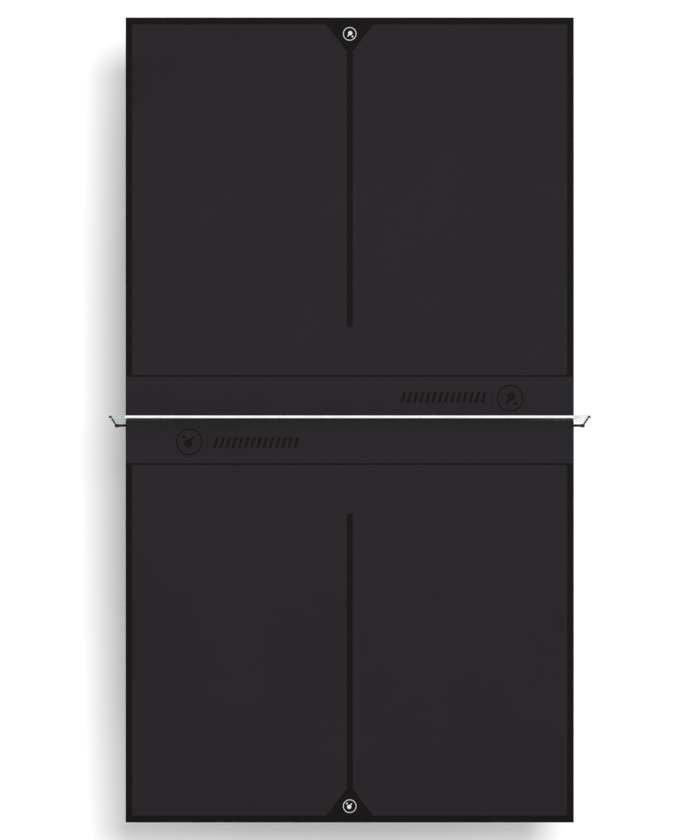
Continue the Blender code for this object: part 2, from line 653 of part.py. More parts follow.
def build_half(end, along):
    """One board with its frame, legs, feet, struts and lock bolt."""
    piece(f"table_top_{end}", table_top(), "board", (1, along), PIVOT)
    piece(f"inner_rail_{end}", cross_apron(INNER_RAIL_START), "steel", (1, along), PIVOT)
    piece(f"end_rail_{end}", cross_apron(END_RAIL_END - RAIL_WIDTH), "steel", (1, along), PIVOT)
    piece(f"leg_brace_{end}", leg_brace(), "steel", (1, along), LEG_HINGE)
    bolt_origin = (BOLT_TIP_X, PIVOT.y, PIVOT.z - BOLT_OFFSET)
    piece(f"lock_bolt_{end}", lock_bolt(), "zinc", (1, along), bolt_origin)
    for side, across in SIDES:
        corner = f"{end}_{side}"
        mirror = (across, along)
        piece(f"side_rail_{corner}", side_rail(), "steel", mirror, PIVOT)
        piece(f"under_rail_{corner}", under_rail(side == "right"), "steel", mirror, PIVOT)
        piece(f"leg_{corner}", leg(), "steel", mirror, LEG_HINGE)
        piece(f"foot_{corner}", foot(), "foot", mirror, (FRAME_X, LEG_HINGE.y, 0))
        piece(f"strut_{corner}", strut(), "steel", mirror, STRUT_PIVOT)


def build_castor(corner, mirror, with_brake):
    """A swivel castor under one end of a base rail."""
    swivel = Vector((FRAME_X, CASTOR_Y, 0))
    parts = [("castor_fork", castor_fork(), "castor_plastic", Vector((0, 0, CROWN_TOP))),
             ("castor_wheel", castor_wheel(), "tyre", Vector((0, CASTOR_TRAIL, WHEEL_RADIUS)))]
    if with_brake:
        parts.append(("castor_pedal", castor_pedal(), "pedal", PEDAL_PIVOT))
    for name, bm, finish, origin in parts:
        bm.transform(Matrix.Translation(swivel))
        piece(f"{name}_{corner}", bm, finish, mirror, swivel + origin)


def build_chassis():
    """The wheeled frame between the halves."""
    lower = cross_tube(0.0, BASE_RAIL_BOTTOM + LOWER_TUBE_RISE, LOWER_TUBE_HEIGHT)
    piece("cross_tube_centre", lower, "steel")
    for end, along in ENDS:
        upper = cross_tube(UPRIGHT_Y, CROSS_TUBE_Z - CROSS_TUBE_HEIGHT / 2, CROSS_TUBE_HEIGHT)
        piece(f"cross_tube_{end}", upper, "steel", (1, along))
        for side, across in SIDES:
            corner = f"{end}_{side}"
            piece(f"upright_{corner}", upright(), "steel", (across, along))
            build_castor(corner, (across, along), end == "near")
    for side, across in SIDES:
        piece(f"base_rail_{side}", base_rail(), "steel", (across, 1))
        piece(f"net_column_{side}", net_column(), "steel", (across, 1))
        piece(f"net_arm_{side}", net_arm(), "steel", (across, 1))
        piece(f"net_socket_{side}", net_socket(), "steel", (across, 1))


def build_net():
    """The posts, netting and tape, which lift out together."""
    for side, across in SIDES:
        piece(f"net_post_{side}", net_post(), "steel", (across, 1), (POST_X, ARM_Y, SOCKET_TOP))
    piece("net_mesh", net_mesh(), "net")
    piece("net_tape", net_tape(), "tape")


build_chassis()
for end_name, direction in ENDS:
    build_half(end_name, direction)
build_net()
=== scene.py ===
"""Looks of the folding table tennis table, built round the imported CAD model.

Metres, +Z up, X across the table and Y along it, in the frame of the CAD model. Far is +Y and
right is +X. Most pieces are drawn for the far right corner and mirrored to the others.
"""

import json
import math

import bmesh
import bpy
from mathutils import Matrix, Vector, noise


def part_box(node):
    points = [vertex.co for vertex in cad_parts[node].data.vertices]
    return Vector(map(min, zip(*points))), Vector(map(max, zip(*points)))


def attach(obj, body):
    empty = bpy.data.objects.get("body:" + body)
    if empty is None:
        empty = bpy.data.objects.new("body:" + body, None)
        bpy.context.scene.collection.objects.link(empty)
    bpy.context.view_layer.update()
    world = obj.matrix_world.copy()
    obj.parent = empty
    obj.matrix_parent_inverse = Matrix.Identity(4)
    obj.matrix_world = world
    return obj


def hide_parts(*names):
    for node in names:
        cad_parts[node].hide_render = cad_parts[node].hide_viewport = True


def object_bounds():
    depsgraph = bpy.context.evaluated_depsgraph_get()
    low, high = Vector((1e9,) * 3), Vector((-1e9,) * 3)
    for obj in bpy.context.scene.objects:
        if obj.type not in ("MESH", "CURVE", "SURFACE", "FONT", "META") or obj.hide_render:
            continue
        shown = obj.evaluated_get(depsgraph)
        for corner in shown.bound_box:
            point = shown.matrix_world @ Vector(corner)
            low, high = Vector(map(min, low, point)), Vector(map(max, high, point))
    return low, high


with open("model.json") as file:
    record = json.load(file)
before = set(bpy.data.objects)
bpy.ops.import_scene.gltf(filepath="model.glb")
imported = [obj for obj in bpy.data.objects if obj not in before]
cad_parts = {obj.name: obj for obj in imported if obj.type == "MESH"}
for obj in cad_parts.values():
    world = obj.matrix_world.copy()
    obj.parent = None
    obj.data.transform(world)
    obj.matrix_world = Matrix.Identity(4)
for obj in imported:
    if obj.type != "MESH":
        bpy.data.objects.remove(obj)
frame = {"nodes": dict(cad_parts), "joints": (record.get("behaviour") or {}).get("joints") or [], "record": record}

CAD_LOW, CAD_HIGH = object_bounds()
JOINTS = {joint["name"]: joint for joint in frame["joints"]}
ENDS = (("far", 1), ("near", -1))
SIDES = (("left", -1), ("right", 1))
CORNERS = [(f"{end}_{side}", end, (across, along)) for end, along in ENDS for side, across in SIDES]
X, Y, Z = Vector((1, 0, 0)), Vector((0, 1, 0)), Vector((0, 0, 1))
TURN = 2 * math.pi
NOISE_SEED = 5
noise.seed_set(NOISE_SEED)


# ---- places taken from the frame

def middle(node):
    """The centre of a node's box."""
    low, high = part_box(node)
    return (low + high) / 2


def size(node):
    """The size of a node's box."""
    low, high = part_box(node)
    return high - low


BOARD_LOW, BOARD_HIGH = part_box("table_top_far")
TABLE_HEIGHT = BOARD_HIGH.z
HALF_WIDTH = BOARD_HIGH.x
HALF_LENGTH = BOARD_HIGH.y
RAIL_BOTTOM, RAIL_TOP = (corner.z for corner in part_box("side_rail_far_right"))
LEG_LOW, LEG_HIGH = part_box("leg_far_right")
STRUT_LOW, STRUT_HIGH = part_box("strut_far_right")
UPRIGHT_LOW, UPRIGHT_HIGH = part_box("upright_far_right")
BASE_LOW, BASE_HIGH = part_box("base_rail_right")
COLUMN_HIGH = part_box("net_column_right")[1]
SOCKET_LOW, SOCKET_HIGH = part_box("net_socket_right")
POST_LOW, POST_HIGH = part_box("net_post_right")
NET_LOW, NET_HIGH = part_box("net_mesh")
TAPE_LOW, TAPE_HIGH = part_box("net_tape")
FOLD_PIVOT = Vector(JOINTS["half_fold_far"]["pos_m"])
LEG_HINGE = Vector(JOINTS["leg_fold_far"]["pos_m"])
STRUT_PIVOT = Vector(JOINTS["strut_fold_far"]["pos_m"])
STRUT_END = LEG_HINGE + STRUT_PIVOT - FOLD_PIVOT

# Sizes that the boxes don't give
TUBE_WALL = 0.002
LEG_WALL = 0.0016
TUBE_ROUND = 0.003
LEG_WIDTH = 0.025
LEG_X = middle("foot_far_right").x
FOOT_STEM_HOLE = 0.0056
FRAME_WIDTH = 0.030
UNDER_RAIL_WIDTH = 0.028
STRUT_THICKNESS = 0.015
STRUT_HEIGHT = 0.025
STRUT_OVERHANG = 0.018
FOLD_PLATE = 0.0055
STRUT_PLATE_OUTER = 0.640
PIN_HEAD = 0.004
UNDER_RAIL_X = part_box("under_rail_far_left")[1].x * -1 + PIN_HEAD + UNDER_RAIL_WIDTH / 2
PIVOT_PIN_RADIUS = 0.006
LINK_PIN_RADIUS = 0.005
NUT_BORE_SHARE = 0.96
CASTOR_CHEEK_OUTER = 0.019
ARM_RADIUS = 0.0045
POST_RADIUS = 0.003
GAP = 0.0003


# ---- materials

def link(tree, output, socket):
    """Join one node's output to another's input."""
    tree.links.new(output, socket)


def fill(node, values):
    """Put constants on a node's own sockets."""
    for name, value in values.items():
        node.inputs[name].default_value = value


def start_material(name, roughness, metallic=0.0, specular=0.5):
    """A Principled material whose constant values sit on the shader's own sockets."""
    material = bpy.data.materials.new(name)
    material.use_nodes = True
    tree = material.node_tree
    shader = tree.nodes["Principled BSDF"]
    fill(shader, {"Roughness": roughness, "Metallic": metallic, "Specular IOR Level": specular})
    return material, tree, shader


def object_position(tree):
    """Coordinates in metres that move with the piece."""
    return tree.nodes.new("ShaderNodeTexCoord").outputs["Object"]


def noise_value(tree, place, scale, detail=4.0, rough=0.55):
    """A fractal noise value from 0 to 1; scale is in cells per metre."""
    texture = tree.nodes.new("ShaderNodeTexNoise")
    fill(texture, {"Scale": scale, "Detail": detail, "Roughness": rough})
    link(tree, place, texture.inputs["Vector"])
    return texture.outputs["Fac"]


def ramp(tree, value, stops):
    """A colour ramp over (position, colour) stops."""
    node = tree.nodes.new("ShaderNodeValToRGB")
    elements = node.color_ramp.elements
    for index, (position, colour) in enumerate(stops):
        element = elements[index] if index < 2 else elements.new(position)
        element.position = position
        element.color = (*colour, 1.0)
    link(tree, value, node.inputs["Fac"])
    return node.outputs["Color"]


def remap(tree, value, low, high, from_low=0.3, from_high=0.7):
    """A value moved from one range to another and held inside it."""
    node = tree.nodes.new("ShaderNodeMapRange")
    fill(node, {"From Min": from_low, "From Max": from_high, "To Min": low, "To Max": high})
    link(tree, value, node.inputs["Value"])
    return node.outputs["Result"]


def mix_colour(tree, factor, first, second):
    """A blend of two colour outputs by a factor output."""
    node = tree.nodes.new("ShaderNodeMix")
    node.data_type = "RGBA"
    link(tree, factor, node.inputs["Factor"])
    link(tree, first, node.inputs[6])
    link(tree, second, node.inputs[7])
    return node.outputs[2]


def bump(tree, shader, height, distance):
    """Small relief from a height output; distance is its depth in metres."""
    node = tree.nodes.new("ShaderNodeBump")
    fill(node, {"Strength": 1.0, "Distance": distance})
    link(tree, height, node.inputs["Height"])
    link(tree, node.outputs["Normal"], shader.inputs["Normal"])


def grey(value, warm=0.0):
    """A near neutral colour; warm above 0 leans red and below 0 leans blue."""
    return (value * (1 + warm), value, value * (1 - warm))


def mottled(name, dark, light, scale, rough_low, rough_high, grain, depth, specular=0.5,
            metallic=0.0):
    """Two close colours in soft patches of 1/scale m, uneven gloss, and a relief of 1/grain m."""
    material, tree, shader = start_material(name, rough_high, metallic, specular)
    place = object_position(tree)
    patches = noise_value(tree, place, scale)
    link(tree, ramp(tree, patches, ((0.35, dark), (0.65, light))), shader.inputs["Base Color"])
    smears = noise_value(tree, place, scale * 2.3, 6.0)
    link(tree, remap(tree, smears, rough_low, rough_high), shader.inputs["Roughness"])
    bump(tree, shader, noise_value(tree, place, grain, 2.0), depth)
    return material


def board_material():
    """A matte charcoal playing surface over a bare dark fibreboard underside."""
    material, tree, shader = start_material("board_paint", 0.66, specular=0.035)
    coordinates = tree.nodes.new("ShaderNodeTexCoord")
    place = coordinates.outputs["Object"]
    cloud = noise_value(tree, place, 3.0, 3.0)
    top_colour = ramp(tree, cloud, ((0.30, (0.0130, 0.0111, 0.0130)),
                                    (0.70, (0.0140, 0.0120, 0.0140))))
    chips = noise_value(tree, place, 260.0, 6.0, 0.7)
    under_colour = ramp(tree, chips, ((0.30, (0.020, 0.015, 0.011)), (0.50, (0.060, 0.043, 0.030)),
                                      (0.70, (0.120, 0.090, 0.064))))
    split = tree.nodes.new("ShaderNodeSeparateXYZ")
    link(tree, coordinates.outputs["Normal"], split.inputs["Vector"])
    downward = remap(tree, split.outputs["Z"], 1.0, 0.0, -0.9, -0.5)
    link(tree, mix_colour(tree, downward, top_colour, under_colour), shader.inputs["Base Color"])
    stipple = noise_value(tree, place, 1400.0, 3.0, 0.6)
    link(tree, remap(tree, stipple, 0.56, 0.70), shader.inputs["Roughness"])
    bump(tree, shader, stipple, 0.00006)
    return material


# Name: dark, light, patches, roughness from and to, grain, relief in metres, specular, metallic
MOTTLED = {
    # Black powder coat with a faint blue cast, orange peel and dull handling smears
    "frame_steel": ((0.0046, 0.0050, 0.0085), (0.0082, 0.0087, 0.0130), 9.0, 0.36, 0.54, 900.0, 0.00010,
                    0.30),
    "post_paint": ((0.0032, 0.0035, 0.0062), (0.0056, 0.0060, 0.0096), 30.0, 0.48, 0.62, 1400.0, 0.00005,
                   0.10),
    "castor_plastic": (grey(0.020), grey(0.032), 60.0, 0.42, 0.60, 2200.0, 0.00006),
    "castor_tyre": (grey(0.075, 0.02), grey(0.115, 0.03), 45.0, 0.70, 0.92, 1500.0, 0.00010, 0.3),
    "pedal_plastic": (grey(0.105), grey(0.150), 70.0, 0.36, 0.55, 1800.0, 0.00006),
    "cap_plastic": (grey(0.011), grey(0.019), 70.0, 0.45, 0.62, 1900.0, 0.00006),
    "foot_plastic": (grey(0.016), grey(0.027), 80.0, 0.60, 0.85, 1600.0, 0.00008, 0.35),
    "zinc_steel": ((0.42, 0.42, 0.44), (0.62, 0.62, 0.61), 120.0, 0.24, 0.44, 2500.0, 0.00003, 0.5, 1.0),
    "line_ink": ((0.0049, 0.0038, 0.0041), (0.0055, 0.0042, 0.0045), 40.0, 0.58, 0.70, 1500.0, 0.00003,
                 0.035),
    "emblem_ink": (grey(0.46), grey(0.52), 90.0, 0.50, 0.65, 1500.0, 0.00004, 0.3),
    "net_cord": (grey(0.012), grey(0.026), 900.0, 0.80, 0.95, 5000.0, 0.00010, 0.2),
    "net_tape": (grey(0.60), grey(0.65), 30.0, 0.80, 0.95, 2600.0, 0.00012, 0.2),
    "tie_cord": ((0.34, 0.40, 0.43), (0.42, 0.48, 0.51), 900.0, 0.70, 0.85, 6000.0, 0.00004),
    "stitch_thread": (grey(0.46), grey(0.54), 900.0, 0.70, 0.85, 6000.0, 0.00004),
}
MATERIALS = {name: mottled(name, *look) for name, look in MOTTLED.items()}
MATERIALS["board"] = board_material()
BLACK_PLUG = ("castor_plastic", "cap_plastic")


# ---- making pieces

def add_object(name, data):
    """A new object in the scene."""
    made = bpy.data.objects.new(name, data)
    bpy.context.scene.collection.objects.link(made)
    return made


def add_piece(name, bm, body, slot, finish=None, mirror=(1, 1), sharp=35.0):
    """A shaded piece from a bmesh drawn in place; it rides on a body, and its slot picks its material unless a
    finish is given.
    """
    bm.transform(Matrix.Diagonal((*mirror, 1.0, 1.0)))
    bmesh.ops.recalc_face_normals(bm, faces=bm.faces)
    mesh = bpy.data.meshes.new(name)
    bm.to_mesh(mesh)
    bm.free()
    mesh.materials.append(MATERIALS[finish or slot])
    mesh.shade_smooth()
    mesh.set_sharp_from_angle(angle=math.radians(sharp))
    piece = add_object(name, mesh)
    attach(piece, body)
    return piece


def looking(place, direction):
    """A matrix whose +Z runs along a direction from a place; its +Y is as near to up as it can be."""
    turn = Vector(direction).to_track_quat("Z", "Y").to_matrix().to_4x4()
    return Matrix.Translation(place) @ turn


def join_rings(bm, first, second):
    """Quads between two rings of vertices, or triangles where one ring is a single vertex."""
    count = max(len(first), len(second))
    for i in range(count):
        j = (i + 1) % count
        if len(first) == 1:
            bm.faces.new((first[0], second[j], second[i]))
        elif len(second) == 1:
            bm.faces.new((first[i], first[j], second[0]))
        else:
            bm.faces.new((first[i], first[j], second[j], second[i]))


def join_all(bm, rings):
    """Faces between each ring and the next."""
    for first, second in zip(rings, rings[1:]):
        join_rings(bm, first, second)


def lathe(bm, matrix, profile, sides=32, closed=False, flute=0.0):
    """Turn (radius, height) points about +Z; closed makes a ring, and flute sinks every other side."""
    rings = []
    for radius, height in profile:
        if radius == 0:
            rings.append([bm.verts.new(matrix @ Vector((0, 0, height)))])
            continue
        ring = []
        for i in range(sides):
            angle = TURN * i / sides
            reach = radius * (1 - flute * (i % 2))
            ring.append(bm.verts.new(
                matrix @ Vector((reach * math.cos(angle), reach * math.sin(angle), height))))
        rings.append(ring)
    if closed:
        rings.append(rings[0])
    join_all(bm, rings)


def rounded_outline(width, height, radius, steps=3):
    """Points round a rectangle centred on (0, 0), with an arc at each corner."""
    points = []
    for quarter, (a, b) in enumerate(((1, 1), (-1, 1), (-1, -1), (1, -1))):
        centre = Vector((a * (width / 2 - radius), b * (height / 2 - radius)))
        for step in range(steps + 1):
            angle = math.pi / 2 * (quarter + step / steps)
            points.append(centre + radius * Vector((math.cos(angle), math.sin(angle))))
    return points


def loft(bm, matrix, sections, bore=None):
    """A solid through rounded rectangles given as (height, width, depth, corner radius).

    A bore radius leaves a round hole right through it.
    """
    rings = [[bm.verts.new(matrix @ Vector((*point, height)))
              for point in rounded_outline(width, depth, radius)]
             for height, width, depth, radius in sections]
    if bore is None:
        bm.faces.new(rings[0])
        bm.faces.new(rings[-1])
    else:
        outline = rounded_outline(*sections[0][1:])
        for height in (sections[-1][0], sections[0][0]):
            rings.append([bm.verts.new(matrix @ Vector((*(bore * point.normalized()), height)))
                          for point in outline])
        rings.append(rings[0])
    join_all(bm, rings)


def tube_along(bm, points, radii, sides=6, closed=False):
    """A round bar through points, with a radius at each; closed joins its end to its start."""
    count = len(points)
    across = None
    rings = []
    for i, point in enumerate(points):
        before = points[i - 1] if i or closed else point
        after = points[(i + 1) % count] if i < count - 1 or closed else point
        ahead = (after - before).normalized()
        if across is None:
            across = ahead.orthogonal()
        across = (across - across.dot(ahead) * ahead).normalized()
        upward = ahead.cross(across)
        rings.append([bm.verts.new(point + radii[i] * (math.cos(TURN * k / sides) * across
                                                       + math.sin(TURN * k / sides) * upward))
                      for k in range(sides)])
    if closed:
        rings.append(rings[0])
    else:
        bm.faces.new(rings[0])
        bm.faces.new(rings[-1])
    join_all(bm, rings)


def slab(bm, outline, bottom, top):
    """A flat closed plate from (x, y) points."""
    rings = [[bm.verts.new((x, y, z)) for x, y in outline] for z in (bottom, top)]
    bm.faces.new(rings[0])
    bm.faces.new(rings[1])
    join_rings(bm, *rings)


def circle_points(centre, radius, start=0.0, end=TURN, steps=48):
    """Points along an arc; a full turn leaves out the repeated last point."""
    count = steps if end - start == TURN else steps + 1
    return [(centre[0] + radius * math.cos(start + (end - start) * i / steps),
             centre[1] + radius * math.sin(start + (end - start) * i / steps)) for i in range(count)]


def ring_slab(bm, centre, outer, inner, bottom, top):
    """A flat closed ring."""
    loops = [[bm.verts.new((x, y, z)) for x, y in circle_points(centre, radius, steps=64)]
             for radius, z in ((outer, bottom), (outer, top), (inner, top), (inner, bottom))]
    join_all(bm, loops + loops[:1])


# ---- small hardware

def washer(bm, matrix, outer, bore, thickness):
    """A flat ring with eased rims."""
    ease = thickness * 0.25
    lathe(bm, matrix, [(bore, 0), (outer - ease, 0), (outer, ease), (outer, thickness - ease),
                       (outer - ease, thickness), (bore, thickness)], 40, closed=True)


def hex_nut(bm, matrix, flats, height, bore):
    """A six-sided nut with chamfered corners."""
    corner = flats / math.sqrt(3)
    lathe(bm, matrix, [(bore, 0), (corner * 0.93, 0), (corner, height * 0.10), (corner, height * 0.90),
                       (corner * 0.93, height), (bore, height)], 6, closed=True)


def cap_nut(bm, matrix, flats, height, bore):
    """A six-sided nut with a smooth domed end."""
    base = height * 0.45
    hex_nut(bm, matrix, flats, base, bore)
    dome = flats * 0.46
    steps = 6
    profile = [(bore, base * 0.5), (dome, base * 0.5)]
    for step in range(steps + 1):
        angle = math.pi / 2 * step / steps
        profile.append((dome * math.cos(angle) if step < steps else 0,
                        base + (height - base) * math.sin(angle)))
    lathe(bm, matrix, profile, 32)


def pan_screw(bm, matrix):
    """A pan-head screw with a round socket in its head."""
    radius, height = 0.0042, 0.0022
    socket = radius * 0.42
    profile = [(0, height * 0.35), (socket, height * 0.35), (socket, height)]
    for step in range(5):
        angle = math.pi / 2 * (1 - step / 4)
        profile.append((socket * 1.25 + (radius - socket * 1.25) * math.cos(angle),
                        height * (0.25 + 0.75 * math.sin(angle))))
    profile += [(radius, 0), (0, 0)]
    lathe(bm, matrix, profile, 24)


def end_cap(bm, place, direction, width, depth, wall=TUBE_WALL, bore=None):
    """A moulded plug for a tube's open end: a domed flange over the rim and a skirt inside it."""
    inside = 2 * wall + 2 * GAP
    skirt = (width - inside, depth - inside, TUBE_ROUND - wall)
    rim = (width - 0.0004, depth - 0.0004, TUBE_ROUND)
    sections = [(-0.009, *skirt), (GAP, *skirt), (GAP, *rim), (0.0014, *rim),
                (0.0022, width - 0.0022, depth - 0.0022, TUBE_ROUND * 0.9)]
    loft(bm, looking(place, direction), sections, bore)


def weld_seam(bm, matrix, width, depth, open_top=False, radius=0.0014):
    """A rippled bead round the foot of a rectangular tube; an open top skips the side against a board."""
    step_length = 0.0011
    outline = rounded_outline(width + 0.0004, depth + 0.0004, TUBE_ROUND, 4)
    path = []
    for start, end in zip(outline, outline[1:] + outline[:1]):
        count = max(1, round((end - start).length / step_length))
        path += [start.lerp(end, i / count) for i in range(count)]
    if open_top:
        top = depth / 2 - TUBE_ROUND
        first = next(i for i, point in enumerate(path) if point.x < 0 and point.y < top)
        path = [point for point in path[first:] + path[:first] if point.y < top]
    wave = (0.0, 1.0, 0.0, -1.0)
    radii = [radius * (1 + 0.20 * wave[i % 4]) for i in range(len(path))]
    tube_along(bm, [matrix @ Vector((*point, 0)) for point in path], radii, 6, closed=not open_top)


def weld_ring(bm, matrix, inner, radius=0.0013):
    """A rippled bead round the foot of a round bar."""
    count = 40
    points = [matrix @ Vector((x, y, 0)) for x, y in circle_points((0, 0), inner, steps=count)]
    tube_along(bm, points, [radius * (1.16 if i % 4 < 2 else 0.86) for i in range(count)], 6, closed=True)


# ---- printed marks on the boards

INK_DEPTH = 0.00012
EDGE_MARGIN = 0.0018
SIDE_LINE = 0.022
END_LINE = 0.0235
CROSS_LINE = 0.006
CROSS_LINE_Y = 0.150
CENTRE_LINE = 0.0205
CENTRE_LINE_START = 0.318
WEDGE_HALF_BASE = 0.080
WEDGE_LENGTH = 0.092
EMBLEM_Y = 1.3145
EMBLEM_RADIUS = 0.0228
BAND_EMBLEM = (0.546, 0.0745)
BAND_EMBLEM_RADIUS = 0.0455
BAND_DIVIDER_X = (0.4831, 0.4849)
BAND_DIVIDER_Y = (0.0445, 0.0950)
BAND_BARS = ((0.172, 0.0600), (0.466, 0.0950))
BAND_BAR_COUNT = 14
BAND_BAR_SHARE = 0.50
BAND_BAR_LEAN = 0.010


def ink(bm, outline, along, top):
    """A printed shape of the far half, turned half a turn for the near half."""
    slab(bm, [(x * along, y * along) for x, y in outline], TABLE_HEIGHT - INK_DEPTH, top)


def rectangle(x_low, x_high, y_low, y_high):
    """Corner points of a rectangle."""
    return [(x_low, y_low), (x_high, y_low), (x_high, y_high), (x_low, y_high)]


def line_outlines():
    """Borders, cross line, centre line and end wedge of one half, none of them overlapping."""
    side, end = HALF_WIDTH - EDGE_MARGIN, HALF_LENGTH - EDGE_MARGIN
    side_inner, end_inner = HALF_WIDTH - SIDE_LINE, HALF_LENGTH - END_LINE
    cross_low, cross_high = CROSS_LINE_Y - CROSS_LINE / 2, CROSS_LINE_Y + CROSS_LINE / 2
    half_line = CENTRE_LINE / 2
    wedge_tip = end_inner - WEDGE_LENGTH
    return [
        rectangle(-side, side, end_inner, end),
        rectangle(-side, -side_inner, cross_high, end_inner),
        rectangle(side_inner, side, cross_high, end_inner),
        rectangle(-side, side, cross_low, cross_high),
        rectangle(-half_line, half_line, CENTRE_LINE_START, wedge_tip),
        [(-half_line, wedge_tip), (half_line, wedge_tip), (WEDGE_HALF_BASE, end_inner),
         (-WEDGE_HALF_BASE, end_inner)],
    ]


def bat_outline(centre, size, turn):
    """A bat seen face on: a round blade that runs into a straight handle."""
    blade = size * 0.52
    handle = size * 0.13
    opening = math.asin(handle / blade)
    arc = circle_points((0.0, 0.0), blade, -math.pi / 2 + opening, 1.5 * math.pi - opening, 40)
    points = arc + [(-handle, -size * 1.05), (handle, -size * 1.05)]
    spin = Matrix.Rotation(turn, 2)
    spun = [spin @ Vector((x, y + size * 0.22)) for x, y in points]
    return [(centre[0] + point.x, centre[1] + point.y) for point in spun]


def add_emblem(bm, centre, radius, along, top):
    """A generic mark: a ring round a bat and a ball."""
    place = (centre[0] * along, centre[1] * along)
    ring_slab(bm, place, radius, radius * 0.90, TABLE_HEIGHT - INK_DEPTH, top)
    bat = bat_outline((0.0, 0.0), radius * 0.60, math.radians(-38))
    ball = circle_points((radius * 0.42, radius * -0.40), radius * 0.13, steps=24)
    for outline in (bat, ball):
        ink(bm, [(centre[0] + x, centre[1] + y) for x, y in outline], along, top)


def print_boards():
    """The line scheme and the generic marks, as thin ink on each board."""
    top = TABLE_HEIGHT + INK_DEPTH
    for end, along in ENDS:
        lines = bmesh.new()
        for outline in line_outlines():
            ink(lines, outline, along, top)
        add_piece(f"printed_lines_{end}", lines, f"half_{end}", "board", "line_ink")
        emblem = bmesh.new()
        add_emblem(emblem, (0.0, EMBLEM_Y), EMBLEM_RADIUS, along, top + INK_DEPTH)
        add_piece(f"end_emblem_{end}", emblem, f"half_{end}", "board", "emblem_ink")
        band = bmesh.new()
        add_emblem(band, BAND_EMBLEM, BAND_EMBLEM_RADIUS, along, top)
        ink(band, rectangle(*BAND_DIVIDER_X, *BAND_DIVIDER_Y), along, top)
        (bar_left, bar_low), (bar_right, bar_high) = BAND_BARS
        pitch = (bar_right - bar_left - BAND_BAR_LEAN) / (BAND_BAR_COUNT - 1 + BAND_BAR_SHARE)
        for index in range(BAND_BAR_COUNT):
            start = bar_left + index * pitch
            stop = start + pitch * BAND_BAR_SHARE
            ink(band, [(start, bar_low), (stop, bar_low), (stop + BAND_BAR_LEAN, bar_high),
                       (start + BAND_BAR_LEAN, bar_high)], along, top)
        add_piece(f"band_marks_{end}", band, f"half_{end}", "board", "line_ink")


# ---- CAD nodes that stay

SHARP_EDGE = math.radians(52)
WELD_DISTANCE = 0.00001
POST_PAINTED = ("net_post", "net_socket", "net_arm")


def finish_cad_nodes():
    """Give each CAD node its material, and ease and smooth its edges."""
    slots = {part["node"]: part["material_slot"] for part in frame["record"]["subparts"]}
    for name, node in frame["nodes"].items():
        node.data.materials.clear()
        finish = "post_paint" if name.startswith(POST_PAINTED) else slots[name]
        node.data.materials.append(MATERIALS[finish])
        node.data.shade_smooth()
        joined = node.modifiers.new("join", "WELD")
        joined.merge_threshold = WELD_DISTANCE
        eased = node.modifiers.new("ease", "BEVEL")
        eased.width, eased.segments = (0.0009, 3) if name.startswith("castor") else (0.0004, 2)
        eased.limit_method = "ANGLE"
        eased.angle_limit = SHARP_EDGE
        node.modifiers.new("shade", "WEIGHTED_NORMAL")


# ---- welds, caps and fasteners

def seam_welds():
    """Weld beads wherever a tube meets another, one group for each body."""
    brace, apron = middle("leg_brace_far"), middle("inner_rail_far")
    end_apron, rail = middle("end_rail_far"), middle("side_rail_far_right")
    apron_width = size("inner_rail_far").y
    apron_reach = rail.x - size("side_rail_far_right").x / 2 - GAP
    cross, cross_height = middle("cross_tube_far"), size("cross_tube_far").z
    centre, centre_height = middle("cross_tube_centre"), size("cross_tube_centre").z
    base_x = middle("base_rail_right").x
    tube_reach = base_x - FRAME_WIDTH / 2
    column, cup = middle("net_column_right"), middle("net_socket_right")
    arm_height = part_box("net_arm_right")[0].z + ARM_RADIUS
    for end, along in ENDS:
        half, legs = bmesh.new(), bmesh.new()
        for across in (-1, 1):
            flip = Matrix.Diagonal((across, along, 1.0, 1.0))
            for seat, way, width in (
                    ((apron_reach, apron.y, rail.z), X, apron_width),
                    ((apron_reach, end_apron.y, rail.z), X, apron_width),
                    ((UNDER_RAIL_X, apron.y + apron_width / 2, rail.z), Y, UNDER_RAIL_WIDTH),
                    ((UNDER_RAIL_X, end_apron.y - apron_width / 2, rail.z), Y, UNDER_RAIL_WIDTH)):
                weld_seam(half, flip @ looking(seat, way), width, RAIL_TOP - RAIL_BOTTOM, open_top=True)
            seat = (LEG_X - LEG_WIDTH / 2, brace.y, brace.z)
            weld_seam(legs, flip @ looking(seat, X), LEG_WIDTH, LEG_WIDTH)
        add_piece(f"half_welds_{end}", half, f"half_{end}", "frame_steel")
        add_piece(f"leg_welds_{end}", legs, f"legs_{end}", "frame_steel")
    chassis = bmesh.new()
    for across in (-1, 1):
        for along in (-1, 1):
            flip = Matrix.Diagonal((across, along, 1.0, 1.0))
            weld_seam(chassis, flip @ looking((base_x, cross.y, BASE_HIGH.z), Z), FRAME_WIDTH, FRAME_WIDTH)
            weld_seam(chassis, flip @ looking((tube_reach, cross.y, cross.z), X), FRAME_WIDTH, cross_height)
        flip = Matrix.Diagonal((across, 1.0, 1.0, 1.0))
        weld_seam(chassis, flip @ looking((tube_reach, centre.y, centre.z), X), FRAME_WIDTH, centre_height)
        weld_seam(chassis, flip @ looking((column.x, column.y, BASE_HIGH.z), Z), LEG_WIDTH, LEG_WIDTH)
        for seat, way in (((COLUMN_HIGH.x + GAP, column.y, arm_height), X),
                          ((cup.x, cup.y, SOCKET_LOW.z), Z)):
            weld_ring(chassis, flip @ looking(seat, way), ARM_RADIUS + GAP)
    add_piece("chassis_welds", chassis, "chassis", "frame_steel")


